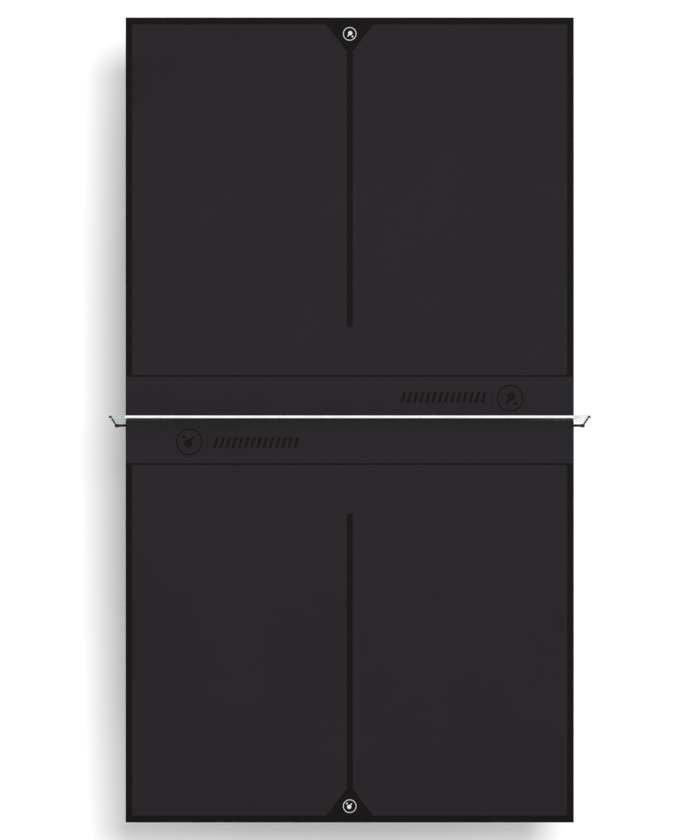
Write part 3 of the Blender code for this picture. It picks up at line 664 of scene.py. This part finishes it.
def tube_caps():
    """Black plugs in every open tube end."""
    rail, rail_size = middle("side_rail_far_right"), size("side_rail_far_right")
    base, column = middle("base_rail_right"), middle("net_column_right")
    ahead = (STRUT_END - STRUT_PIVOT).normalized()
    strut_x = (STRUT_LOW.x + STRUT_HIGH.x) / 2
    lower, upper = STRUT_PIVOT - STRUT_OVERHANG * ahead, STRUT_END + STRUT_OVERHANG * ahead
    leg_tube, strut_tube = (LEG_WIDTH, LEG_WIDTH, LEG_WALL), (STRUT_THICKNESS, STRUT_HEIGHT, LEG_WALL)
    groups = (
        ("rail_caps", "half", (
            ((rail.x, rail.y - rail_size.y / 2, rail.z), -Y, rail_size.x, rail_size.z),
            ((rail.x, rail.y + rail_size.y / 2, rail.z), Y, rail_size.x, rail_size.z))),
        ("leg_caps", "legs", (
            ((LEG_X, LEG_HINGE.y, LEG_HIGH.z), Z, *leg_tube),
            ((LEG_X, LEG_HINGE.y, LEG_LOW.z), -Z, *leg_tube, FOOT_STEM_HOLE))),
        ("strut_caps", "struts", (
            ((strut_x, lower.y, lower.z), -ahead, *strut_tube),
            ((strut_x, upper.y, upper.z), ahead, *strut_tube))),
        ("chassis_caps", "chassis", (
            ((base.x, middle("cross_tube_far").y, UPRIGHT_HIGH.z), Z, FRAME_WIDTH, FRAME_WIDTH),
            ((base.x, BASE_HIGH.y, base.z), Y, FRAME_WIDTH, BASE_HIGH.z - BASE_LOW.z))),
    )
    for corner, end, mirror in CORNERS:
        for name, body, plugs in groups:
            caps = bmesh.new()
            for plug in plugs:
                end_cap(caps, *plug)
            rides_on = body if body == "chassis" else f"{body}_{end}"
            add_piece(f"{name}_{corner}", caps, rides_on, *BLACK_PLUG, mirror)
    for side, across in SIDES:
        caps = bmesh.new()
        end_cap(caps, (column.x, column.y, COLUMN_HIGH.z), Z, *leg_tube)
        add_piece(f"column_cap_{side}", caps, "chassis", *BLACK_PLUG, (across, 1))


def on_line(x, pivot, way):
    """A place at x on the line across the table through a pivot, that looks left or right."""
    return looking((x, pivot.y, pivot.z), way)


def pin_end(bm, x, pivot, way, pin, ring, nut, shape=cap_nut):
    """A washer and a nut on a pin's end, which starts at x.

    The ring is (radius, thickness) and the nut is (distance from x, width over flats, height).
    """
    distance, flats, height = nut
    washer(bm, on_line(x + way.x * GAP, pivot, way), ring[0], pin, ring[1])
    shape(bm, on_line(x + way.x * distance, pivot, way), flats, height, pin * NUT_BORE_SHARE)


def pivot_hardware():
    """Nuts, washers and nylon spacers on the fold pivots, leg hinges and strut pins."""
    rail_inner = UNDER_RAIL_X - UNDER_RAIL_WIDTH / 2
    plate_outer = UPRIGHT_LOW.x + FOLD_PLATE
    lug_outer = rail_inner + UNDER_RAIL_WIDTH + LINK_PIN_RADIUS
    leg_inner, leg_outer = LEG_X - LEG_WIDTH / 2, LEG_X + LEG_WIDTH / 2
    link_ring, strut_nut = (0.0100, 0.0012), (0.0017, 0.0150, 0.0085)
    for corner, end, mirror in CORNERS:
        steel, nylon = bmesh.new(), bmesh.new()
        pin_end(steel, rail_inner, FOLD_PIVOT, -X, PIVOT_PIN_RADIUS, (0.0120, 0.0016),
                (0.0021, 0.018, 0.0050), hex_nut)
        pin_end(steel, plate_outer, FOLD_PIVOT, X, PIVOT_PIN_RADIUS, (0.0120, 0.0014),
                (0.0020, 0.018, 0.0120))
        pin_end(steel, leg_outer, LEG_HINGE, X, LINK_PIN_RADIUS, (0.0100, 0.0010),
                (0.0015, 0.0150, 0.0068))
        add_piece(f"half_nuts_{corner}", steel, f"half_{end}", "zinc_steel", mirror=mirror)
        washer(nylon, on_line(lug_outer + GAP, LEG_HINGE, X), 0.0095, LINK_PIN_RADIUS,
               leg_inner - lug_outer - 2 * GAP)
        add_piece(f"leg_spacer_{corner}", nylon, f"half_{end}", "castor_plastic", mirror=mirror)
        steel, nylon = bmesh.new(), bmesh.new()
        cap_nut(steel, on_line(leg_inner - GAP, STRUT_END, -X), 0.0130, 0.0060,
                LINK_PIN_RADIUS * NUT_BORE_SHARE)
        pin_end(steel, STRUT_HIGH.x, STRUT_END, X, LINK_PIN_RADIUS, link_ring, strut_nut)
        add_piece(f"leg_nuts_{corner}", steel, f"legs_{end}", "zinc_steel", mirror=mirror)
        washer(nylon, on_line(leg_outer + GAP, STRUT_END, X), 0.0090, LINK_PIN_RADIUS,
               STRUT_LOW.x - leg_outer - 2 * GAP)
        add_piece(f"strut_spacer_{corner}", nylon, f"legs_{end}", "castor_plastic", mirror=mirror)
        steel = bmesh.new()
        washer(steel, on_line(STRUT_PLATE_OUTER + GAP, STRUT_PIVOT, X), 0.0100, LINK_PIN_RADIUS,
               STRUT_LOW.x - STRUT_PLATE_OUTER - 2 * GAP)
        pin_end(steel, STRUT_HIGH.x, STRUT_PIVOT, X, LINK_PIN_RADIUS, link_ring, strut_nut)
        add_piece(f"strut_nuts_{corner}", steel, "chassis", "zinc_steel", mirror=mirror)


SIDE_SCREWS = 6
UNDER_RAIL_SCREWS_Y = (0.150, 0.620, 0.900, 1.290)
APRON_SCREWS_X = (0.15, 0.45, 0.66)


def rail_screws():
    """Screws up through the rails into the boards."""
    rail, rail_size = middle("side_rail_far_right"), size("side_rail_far_right")
    inner, outer = middle("inner_rail_far"), middle("end_rail_far")
    for end, along in ENDS:
        screws = bmesh.new()
        places = []
        for across in (-1, 1):
            places += [(across * rail.x, rail.y + rail_size.y * (i / (SIDE_SCREWS - 1) - 0.5) * 0.90)
                       for i in range(SIDE_SCREWS)]
            places += [(across * UNDER_RAIL_X, y) for y in UNDER_RAIL_SCREWS_Y]
            places += [(across * x, y) for x in APRON_SCREWS_X for y in (inner.y, outer.y)]
        for x, y in places:
            pan_screw(screws, looking((x, y, RAIL_BOTTOM - 0.0001), -Z))
        add_piece(f"rail_screws_{end}", screws, f"half_{end}", "zinc_steel", mirror=(1, along))


def edge_bands():
    """The thin black band glued round the outer edges of each board."""
    proud = 0.0004
    low, high = BOARD_LOW.z + 0.0008, BOARD_HIGH.z - 0.0012
    for end, along in ENDS:
        band = bmesh.new()
        rings = []
        for out, z in ((-proud, low), (proud, low + GAP), (proud, high - GAP), (-proud, high)):
            outline = rectangle(-HALF_WIDTH - out, HALF_WIDTH + out, BOARD_LOW.y + proud, HALF_LENGTH + out)
            rings.append([band.verts.new((x, y, z)) for x, y in outline])
        rings.append(rings[0])
        join_all(band, rings)
        add_piece(f"edge_band_{end}", band, f"half_{end}", "board", "cap_plastic", (1, along))


def joint_seals():
    """Soft charcoal strips along the boards' inner edges, which close the joint under the net."""
    slit = 0.00008
    inner = BOARD_LOW.y + GAP
    low, high = BOARD_LOW.z + 0.003, BOARD_HIGH.z - 0.0006
    for end, along in ENDS:
        strip = bmesh.new()
        rings = []
        for x in (-HALF_WIDTH + 0.0008, HALF_WIDTH - 0.0008):
            section = [(inner, low), (slit * 2, low + 0.0004), (slit, low + 0.0012),
                       (slit, high - 0.0006), (slit * 4, high), (inner, high)]
            rings.append([strip.verts.new((x, y, z)) for y, z in section])
        join_rings(strip, *rings)
        for ring in rings:
            strip.faces.new(ring)
        add_piece(f"joint_seal_{end}", strip, f"half_{end}", "board", mirror=(1, along))


# ---- feet, bolts and castors

def levelling_feet():
    """Rubber pads on threaded stems, locked under each leg with a nut."""
    pitch, reach = 0.0016, 0.0048
    thread_low, stem_top = 0.0236, 0.0850
    floor = looking((LEG_X, LEG_HINGE.y, 0), Z)
    for corner, end, mirror in CORNERS:
        pad, stem, nut = bmesh.new(), bmesh.new(), bmesh.new()
        lathe(pad, floor, [(0, 0), (0.0150, 0), (0.0156, 0.0008), (0.0168, 0.0008), (0.0178, 0.0018),
                           (0.0180, 0.0035), (0.0180, 0.0068), (0.0174, 0.0080), (0.0160, 0.0092),
                           (0.0128, 0.0112), (0.0112, 0.0135), (0.0106, 0.0165), (0.0100, 0.0182),
                           (0.0086, 0.0192), (0, 0.0192)], 64)
        foot = add_piece(f"foot_pad_{corner}", pad, f"foot_{corner}", "foot_plastic", mirror=mirror)
        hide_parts(f"foot_{corner}")
        hex_nut(stem, looking((LEG_X, LEG_HINGE.y, 0.0193), Z), 0.0130, 0.0042, 0.003)
        profile = [(0, 0.0200), (reach, 0.0200)]
        for turn in range(round(0.030 / pitch)):
            z = thread_low + turn * pitch
            profile += [(reach * 0.86, z), (reach, z + pitch * 0.4), (reach, z + pitch * 0.6)]
        profile += [(reach, stem_top - 0.0005), (0, stem_top)]
        lathe(stem, floor, profile, 24)
        add_piece(f"foot_stem_{corner}", stem, f"foot_{corner}", "zinc_steel", mirror=mirror)
        nut_place = looking((LEG_X, LEG_HINGE.y, LEG_LOW.z - 0.0028), -Z)
        hex_nut(nut, nut_place, 0.0150, 0.0055, 0.0052)
        add_piece(f"foot_nut_{corner}", nut, f"legs_{end}", "zinc_steel", mirror=mirror)


def lock_bolts():
    """Zinc plated bolts, each with a fluted pull knob."""
    for end, _ in ENDS:
        low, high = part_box(f"lock_bolt_{end}")
        line = looking((low.x, (low.y + high.y) / 2, (low.z + high.z) / 2), X)
        length, shank, knob_length = high.x - low.x, 0.004, 0.015
        bolt, knob = bmesh.new(), bmesh.new()
        lathe(bolt, line, [(0, knob_length - 0.004), (shank, knob_length - 0.004),
                           (shank, length - 0.0012), (shank - 0.0012, length), (0, length)], 32)
        shaft = add_piece(f"lock_shank_{end}", bolt, f"lock_bolt_{end}", "zinc_steel")
        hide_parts(f"lock_bolt_{end}")
        lathe(knob, line, [(0, 0), (0.0062, 0), (0.0084, 0.0016), (0.0084, 0.0030), (0.0066, 0.0048),
                           (0.0058, 0.0080), (0.0062, 0.0120), (0.0080, knob_length - 0.0004),
                           (0.0050, knob_length), (0, knob_length)], 48, flute=0.035)
        add_piece(f"lock_knob_{end}", knob, f"lock_bolt_{end}", "castor_plastic")


def wheel_tyre(bm, hub, radius, half_width):
    """A solid tyre with rounded shoulders and two narrow tread grooves."""
    shoulder, seat = 0.0078, 0.0382
    groove_place, groove, depth = 0.0042, 0.0007, 0.0008
    half = [(radius, groove_place - groove), (radius - depth, groove_place - groove * 0.6),
            (radius - depth, groove_place + groove * 0.6), (radius, groove_place + groove)]
    half += circle_points((radius - shoulder, half_width - shoulder), shoulder, 0.0, math.pi / 2, 8)
    half += [(seat + 0.0016, half_width), (seat, half_width - 0.0012)]
    mirrored = [(r, -h) for r, h in reversed(half)]
    lathe(bm, hub, mirrored + half, 96, closed=True)


def wheel_hub(bm, hub, half_width):
    """A moulded hub: rim, thin web, barrel with a bore, and ribs on both faces."""
    rim_outer, rim_inner, web, barrel, bore = 0.0381, 0.0345, 0.0020, 0.0128, 0.0046
    half = [(bore, 0.0130), (barrel - 0.0010, 0.0130), (barrel, 0.0120), (barrel + 0.0010, web),
            (rim_inner - 0.0008, web), (rim_inner, half_width - 0.0032),
            (rim_inner + 0.0008, half_width - 0.0022), (rim_outer - 0.0006, half_width - 0.0022),
            (rim_outer, half_width - 0.0030)]
    mirrored = [(r, -h) for r, h in reversed(half)]
    lathe(bm, hub, half + mirrored, 72, closed=True)
    ribs, rib_width, rib_thickness = 10, 0.0170, 0.0020
    for index in range(ribs):
        spoke = hub @ Matrix.Rotation(TURN * index / ribs, 4, "Z") @ Matrix.Rotation(math.pi / 2, 4, "Y")
        loft(bm, spoke, [(barrel - 0.0012, rib_width, rib_thickness, 0.0006),
                         (rim_inner + 0.0012, rib_width, rib_thickness, 0.0006)])


def castors():
    """Detailed wheels, axle nuts, swivel races, and grips on the brake pedals."""
    pedal_tilt, rib_start, rib_pitch = math.radians(5.0), 0.026, 0.007
    centre = middle("castor_wheel_far_right")
    wheel_size = size("castor_wheel_far_right")
    radius, half_width = wheel_size.z / 2, wheel_size.x / 2
    hub = looking(centre, X)
    swivel = looking(JOINTS["castor_swivel_far_right"]["pos_m"], Z)
    for corner, _, mirror in CORNERS:
        tyre, rim, steel, race = bmesh.new(), bmesh.new(), bmesh.new(), bmesh.new()
        wheel_tyre(tyre, hub, radius, half_width)
        tyre_piece = add_piece(f"tyre_{corner}", tyre, f"wheel_{corner}", "castor_tyre", mirror=mirror)
        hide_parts(f"castor_wheel_{corner}")
        wheel_hub(rim, hub, half_width)
        add_piece(f"hub_{corner}", rim, f"wheel_{corner}", "castor_plastic", mirror=mirror)
        for way in (-X, X):
            place = looking(centre + way * (CASTOR_CHEEK_OUTER + GAP), way)
            washer(steel, place, 0.0068, 0.0040, 0.0009)
            place = looking(centre + way * (CASTOR_CHEEK_OUTER + 0.0012), way)
            cap_nut(steel, place, 0.0100, 0.0058, 0.0038)
        add_piece(f"axle_nuts_{corner}", steel, f"castor_{corner}", "zinc_steel", mirror=mirror)
        lathe(race, swivel, [(0.0062, 0.0001), (0.0158, 0.0001), (0.0168, 0.0003), (0.0168, 0.0006),
                             (0.0158, 0.0008), (0.0062, 0.0008)], 48, closed=True)
        add_piece(f"swivel_race_{corner}", race, f"castor_{corner}", "zinc_steel", mirror=mirror)
    for side, _ in SIDES:
        hinge = JOINTS[f"brake_pedal_near_{side}"]["pos_m"]
        ribs = bmesh.new()
        slope = Matrix.Translation(hinge) @ Matrix.Rotation(-pedal_tilt, 4, "X")
        for index in range(5):
            place = Matrix.Translation((0, -rib_start - rib_pitch * index, 0.0029))
            loft(ribs, slope @ place, [(0, 0.034, 0.0026, 0.0012), (0.0009, 0.034, 0.0024, 0.0011),
                                       (0.0014, 0.0334, 0.0016, 0.0007)])
        add_piece(f"pedal_ribs_{side}", ribs, f"pedal_near_{side}", "pedal_plastic")


# ---- net

NET_Y = (NET_LOW.y + NET_HIGH.y) / 2
MESH_PITCH = 0.0115
CORD_RADIUS = 0.0006
KNOT_RADIUS = 0.00105
BORDER_RADIUS = 0.0013
POST_LEAN_TOP = 0.885
TAPE_END = HALF_WIDTH - 0.0125
NET_END = TAPE_END - 0.001
HEM_HALF_WIDTH = 0.00095
NET_CASTS_SHADOW = False


def net_knot(across, up, columns, rows):
    """Where two net cords cross: on a grid, with a small random shift except along the borders."""
    x = NET_END * (2 * across / columns - 1)
    z = NET_LOW.z + (NET_HIGH.z - NET_LOW.z) * up / rows
    shift = noise.noise_vector(Vector((across * 0.73, up * 0.91, 4.2))) * 0.0007
    if across in (0, columns):
        shift.x = 0.0
    if up in (0, rows):
        shift.z = 0.0
    return Vector((x + shift.x, NET_Y + shift.y * 0.6, z + shift.z))


def net_cord_path(knots):
    """Points and radii along one cord: a bead at each knot and a slight sag between them."""
    points, radii = [], []
    for start, end in zip(knots, knots[1:]):
        sag = Vector((0, 0, -0.00025 if abs(start.x - end.x) > abs(start.z - end.z) else 0))
        for share, radius, drop in ((0.0, KNOT_RADIUS, 0), (0.13, CORD_RADIUS, 0.5), (0.5, CORD_RADIUS, 1.0),
                                    (0.87, CORD_RADIUS, 0.5)):
            points.append(start.lerp(end, share) + sag * drop)
            radii.append(radius)
    points.append(knots[-1])
    radii.append(KNOT_RADIUS)
    return points, radii


def make_net():
    """The knotted netting with its border cord, and the ties that lace it to the posts."""
    columns = round(2 * NET_END / MESH_PITCH)
    rows = round((NET_HIGH.z - NET_LOW.z) / MESH_PITCH)
    grid = [[net_knot(i, k, columns, rows) for k in range(rows + 1)] for i in range(columns + 1)]
    netting = bmesh.new()
    for knots in grid + list(zip(*grid)):
        points, radii = net_cord_path(knots)
        tube_along(netting, points, radii, 5)
    net = add_piece("netting", netting, "net_set", "net_cord", sharp=80)
    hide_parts("net_mesh")
    border = bmesh.new()
    edge = [column[0] for column in grid]
    for path in (edge, grid[0], grid[-1]):
        tube_along(border, path, [BORDER_RADIUS] * len(path), 8)
    cord = add_piece("net_border_cord", border, "net_set", "net_cord", sharp=80)
    lacing = bmesh.new()
    ties = 3
    lowest, highest = NET_LOW.z + 0.012, TAPE_LOW.z - 0.018
    for across in (-1, 1):
        for index in range(ties):
            lace_tie(lacing, across, lowest + (highest - lowest) * index / (ties - 1))
    laces = add_piece("net_ties", lacing, "net_set", "net_cord", "tie_cord", sharp=80)
    net.visible_shadow = cord.visible_shadow = NET_CASTS_SHADOW


def post_place(z):
    """The centre of the right post at a height: upright, then leaning across, then upright."""
    x = (POST_LOW.x + POST_HIGH.x) / 2
    foot_y = POST_LOW.y + POST_RADIUS
    share = (z - SOCKET_HIGH.z) / (POST_LEAN_TOP - SOCKET_HIGH.z)
    return Vector((x, foot_y + (NET_Y - foot_y) * min(max(share, 0.0), 1.0), z))


def lace_tie(bm, across, z):
    """A loop of cord drawn tight round a post and the net's edge cord."""
    cord_radius = 0.0007
    post = post_place(z)
    post_reach, edge_reach = POST_RADIUS * 1.08 + cord_radius, BORDER_RADIUS + cord_radius
    edge = Vector((NET_END, NET_Y, z))
    points = []
    for x, y in circle_points((0, 0), 1.0, steps=28):
        way = Vector((x, y, 0))
        around_post, around_edge = post + post_reach * way, edge + edge_reach * way
        point = around_post if around_post.dot(way) > around_edge.dot(way) else around_edge
        points.append(Vector((point.x * across, point.y, z)))
    tube_along(bm, points, [cord_radius] * len(points), 6, closed=True)


def tape_outline():
    """Half of the tape's cross-section as (half width, height) points, from its hem to its top."""
    radius = (TAPE_HIGH.y - TAPE_LOW.y) / 2
    top = TAPE_HIGH.z - TAPE_LOW.z
    swell_start = 0.0035
    lowest = math.radians(-30)
    join = (radius * math.cos(lowest), top - radius + radius * math.sin(lowest))
    points = [(HEM_HALF_WIDTH, 0.0), (HEM_HALF_WIDTH, swell_start)]
    for step in range(1, 6):
        share = step / 6
        smooth = share * share * (3 - 2 * share)
        points.append((HEM_HALF_WIDTH + (join[0] - HEM_HALF_WIDTH) * smooth,
                       swell_start + (join[1] - swell_start) * share))
    return points + circle_points((0.0, top - radius), radius, lowest, math.pi / 2, 8)


def tape_ripple(x):
    """How far the tape's hem waves at x; it fades to nothing at the head cord."""
    return noise.noise_vector(Vector((x * 9.0, 0.3, 1.7))) * 0.0005


def sew_tape():
    """Stitches along the hem on both faces of the tape."""
    stitches = bmesh.new()
    stitch, space, thread = 0.0032, 0.0050, 0.00034
    count = int((2 * TAPE_END - 0.01) / space)
    for index in range(count):
        x = 0.005 - TAPE_END + space * index
        ripple = tape_ripple(x)
        for face in (-1, 1):
            y = NET_Y + face * HEM_HALF_WIDTH + ripple.y * 0.86
            points = [Vector((x + stitch * share, y + face * rise, TAPE_LOW.z + 0.0026))
                      for share, rise in ((0, -0.0002), (0.15, 0.0001), (0.5, 0.0003), (0.85, 0.0001),
                                          (1, -0.0002))]
            tube_along(stitches, points, [thread * 0.7, thread, thread, thread, thread * 0.7], 6)
    return add_piece("tape_stitching", stitches, "net_set", "net_tape", "stitch_thread", sharp=80)


def string_tape():
    """The head cord inside the tape's fold, and the pale loops from its ends round the posts."""
    rope = bmesh.new()
    rope_radius, loop_radius, loop_spread, loop_turn = 0.0016, 0.0007, 0.0031, math.radians(95)
    rope_z = TAPE_HIGH.z - (TAPE_HIGH.y - TAPE_LOW.y) / 2
    ends = [Vector((x, NET_Y, rope_z)) for x in (0.003 - TAPE_END, TAPE_END - 0.003)]
    tube_along(rope, ends, [rope_radius] * 2, 16)
    head_cord = add_piece("head_cord", rope, "net_set", "net_cord", sharp=60)
    loops = bmesh.new()
    place = post_place(rope_z)
    reach = POST_RADIUS * 1.08 + loop_radius + 0.0002
    for across in (-1, 1):
        loop = [(TAPE_END - 0.016, NET_Y - loop_spread), (TAPE_END - 0.004, NET_Y - loop_spread),
                *circle_points(place, reach, -loop_turn, loop_turn, 24),
                (TAPE_END - 0.004, NET_Y + loop_spread), (TAPE_END - 0.016, NET_Y + loop_spread)]
        tube_along(loops, [Vector((across * x, y, rope_z)) for x, y in loop], [loop_radius] * len(loop), 8)
    end_loops = add_piece("tape_end_loops", loops, "net_set", "net_cord", "tie_cord", sharp=60)
    return head_cord, end_loops


def make_tape():
    """The white tape folded over the head cord."""
    cloth = 0.0007
    half = tape_outline()
    outer = half + [(-w, z) for w, z in reversed(half[:-1])]
    inner = []
    for index, (w, z) in enumerate(outer):
        before, after = outer[max(index - 1, 0)], outer[min(index + 1, len(outer) - 1)]
        along = Vector((after[0] - before[0], after[1] - before[1])).normalized()
        inner.append((w - cloth * along.y, z + cloth * along.x))
    section = outer + inner[::-1]
    stations = 160
    bm = bmesh.new()
    rings = []
    for station in range(stations + 1):
        x = TAPE_END * (2 * station / stations - 1)
        ripple = tape_ripple(x)
        ring = []
        for w, z in section:
            lower = 1 - z / (TAPE_HIGH.z - TAPE_LOW.z)
            ring.append(bm.verts.new((x, NET_Y + w + ripple.y * lower, TAPE_LOW.z + z + ripple.z * lower)))
        rings.append(ring)
    join_all(bm, rings)
    last = len(section) - 1
    for ring, order in ((rings[0], 1), (rings[-1], -1)):
        for i in range(len(outer) - 1):
            bm.faces.new((ring[i], ring[i + 1], ring[last - i - 1], ring[last - i])[::order])
    tape = add_piece("tape", bm, "net_set", "net_tape", sharp=60)
    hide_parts("net_tape")
    seam = sew_tape()
    head_cord, end_loops = string_tape()
    tape.visible_shadow = NET_CASTS_SHADOW


def post_fittings():
    """Caps on the net posts, and soft collars in the sockets' mouths."""
    for side, across in SIDES:
        caps, collar = bmesh.new(), bmesh.new()
        top = looking((post_place(1.0).x, NET_Y, POST_HIGH.z), Z)
        lathe(caps, top, [(0, -0.0050), (0.0033, -0.0050), (0.0036, -0.0045), (0.0036, -0.0008),
                          (0.0032, 0.0006), (0.0022, 0.0014), (0.0010, 0.0017), (0, 0.0018)], 32)
        add_piece(f"post_cap_{side}", caps, "net_set", *BLACK_PLUG, (across, 1))
        mouth = looking((*middle("net_socket_right").xy, SOCKET_HIGH.z), Z)
        lathe(collar, mouth, [(0.0034, GAP), (0.0056, GAP), (0.0060, 0.0009), (0.0060, 0.0018),
                              (0.0052, 0.0026), (0.0038, 0.0029), (0.0034, 0.0025)], 40, closed=True)
        add_piece(f"socket_collar_{side}", collar, "chassis", *BLACK_PLUG, (across, 1))


# ---- stage, light and camera

CAMERA_ABOVE_TABLE = 7.64
CAMERA_PLACE = (0.001, 0.0)
IMAGE_METRES_HIGH = 2.8594
KEY_LIGHT_PLACE = (0.87, 1.20)
KEY_LIGHT_TILT = (-30.4, 27.3)
KEY_LIGHT_SIZE = 2.05
KEY_LIGHT_WATTS = 600.0
SKY_STRENGTH = 0.715


def make_stage():
    """A plain pale floor."""
    material, tree, shader = start_material("stage_floor", 0.9, specular=0.1)
    tint = noise_value(tree, object_position(tree), 2.0)
    colour = ramp(tree, tint, ((0.3, grey(0.905)), (0.7, grey(0.915))))
    link(tree, colour, shader.inputs["Base Color"])
    bm = bmesh.new()
    bmesh.ops.create_grid(bm, x_segments=8, y_segments=8, size=40.0)
    mesh = bpy.data.meshes.new("floor")
    bm.to_mesh(mesh)
    bm.free()
    mesh.materials.append(material)
    floor = add_object("floor", mesh)
    floor.location.z = CAD_LOW.z - 0.0002


def make_camera():
    """A camera straight above the middle of the table, with the far half at the top."""
    data = bpy.data.cameras.new("camera")
    data.sensor_width = 36.0
    data.lens = data.sensor_width * CAMERA_ABOVE_TABLE / IMAGE_METRES_HIGH
    data.clip_end = 200.0
    camera = add_object("camera", data)
    camera.location = (*CAMERA_PLACE, TABLE_HEIGHT + CAMERA_ABOVE_TABLE)
    bpy.context.scene.camera = camera


def make_lights():
    """One large soft lamp up and to the right, and an even pale sky."""
    data = bpy.data.lights.new("key", "AREA")
    data.shape = "SQUARE"
    data.size = KEY_LIGHT_SIZE
    data.energy = KEY_LIGHT_WATTS
    key = add_object("key", data)
    key.location = (*KEY_LIGHT_PLACE, TABLE_HEIGHT + CAMERA_ABOVE_TABLE)
    key.rotation_euler = (*(math.radians(angle) for angle in KEY_LIGHT_TILT), 0.0)
    world = bpy.data.worlds.new("sky")
    world.use_nodes = True
    fill(world.node_tree.nodes["Background"], {"Color": (1.0, 1.0, 1.0, 1.0), "Strength": SKY_STRENGTH})
    bpy.context.scene.world = world
    bpy.context.scene.view_settings.view_transform = "Standard"


finish_cad_nodes()
print_boards()
edge_bands()
joint_seals()
seam_welds()
tube_caps()
pivot_hardware()
rail_screws()
levelling_feet()
lock_bolts()
castors()
make_net()
make_tape()
post_fittings()
make_stage()
make_camera()
make_lights()
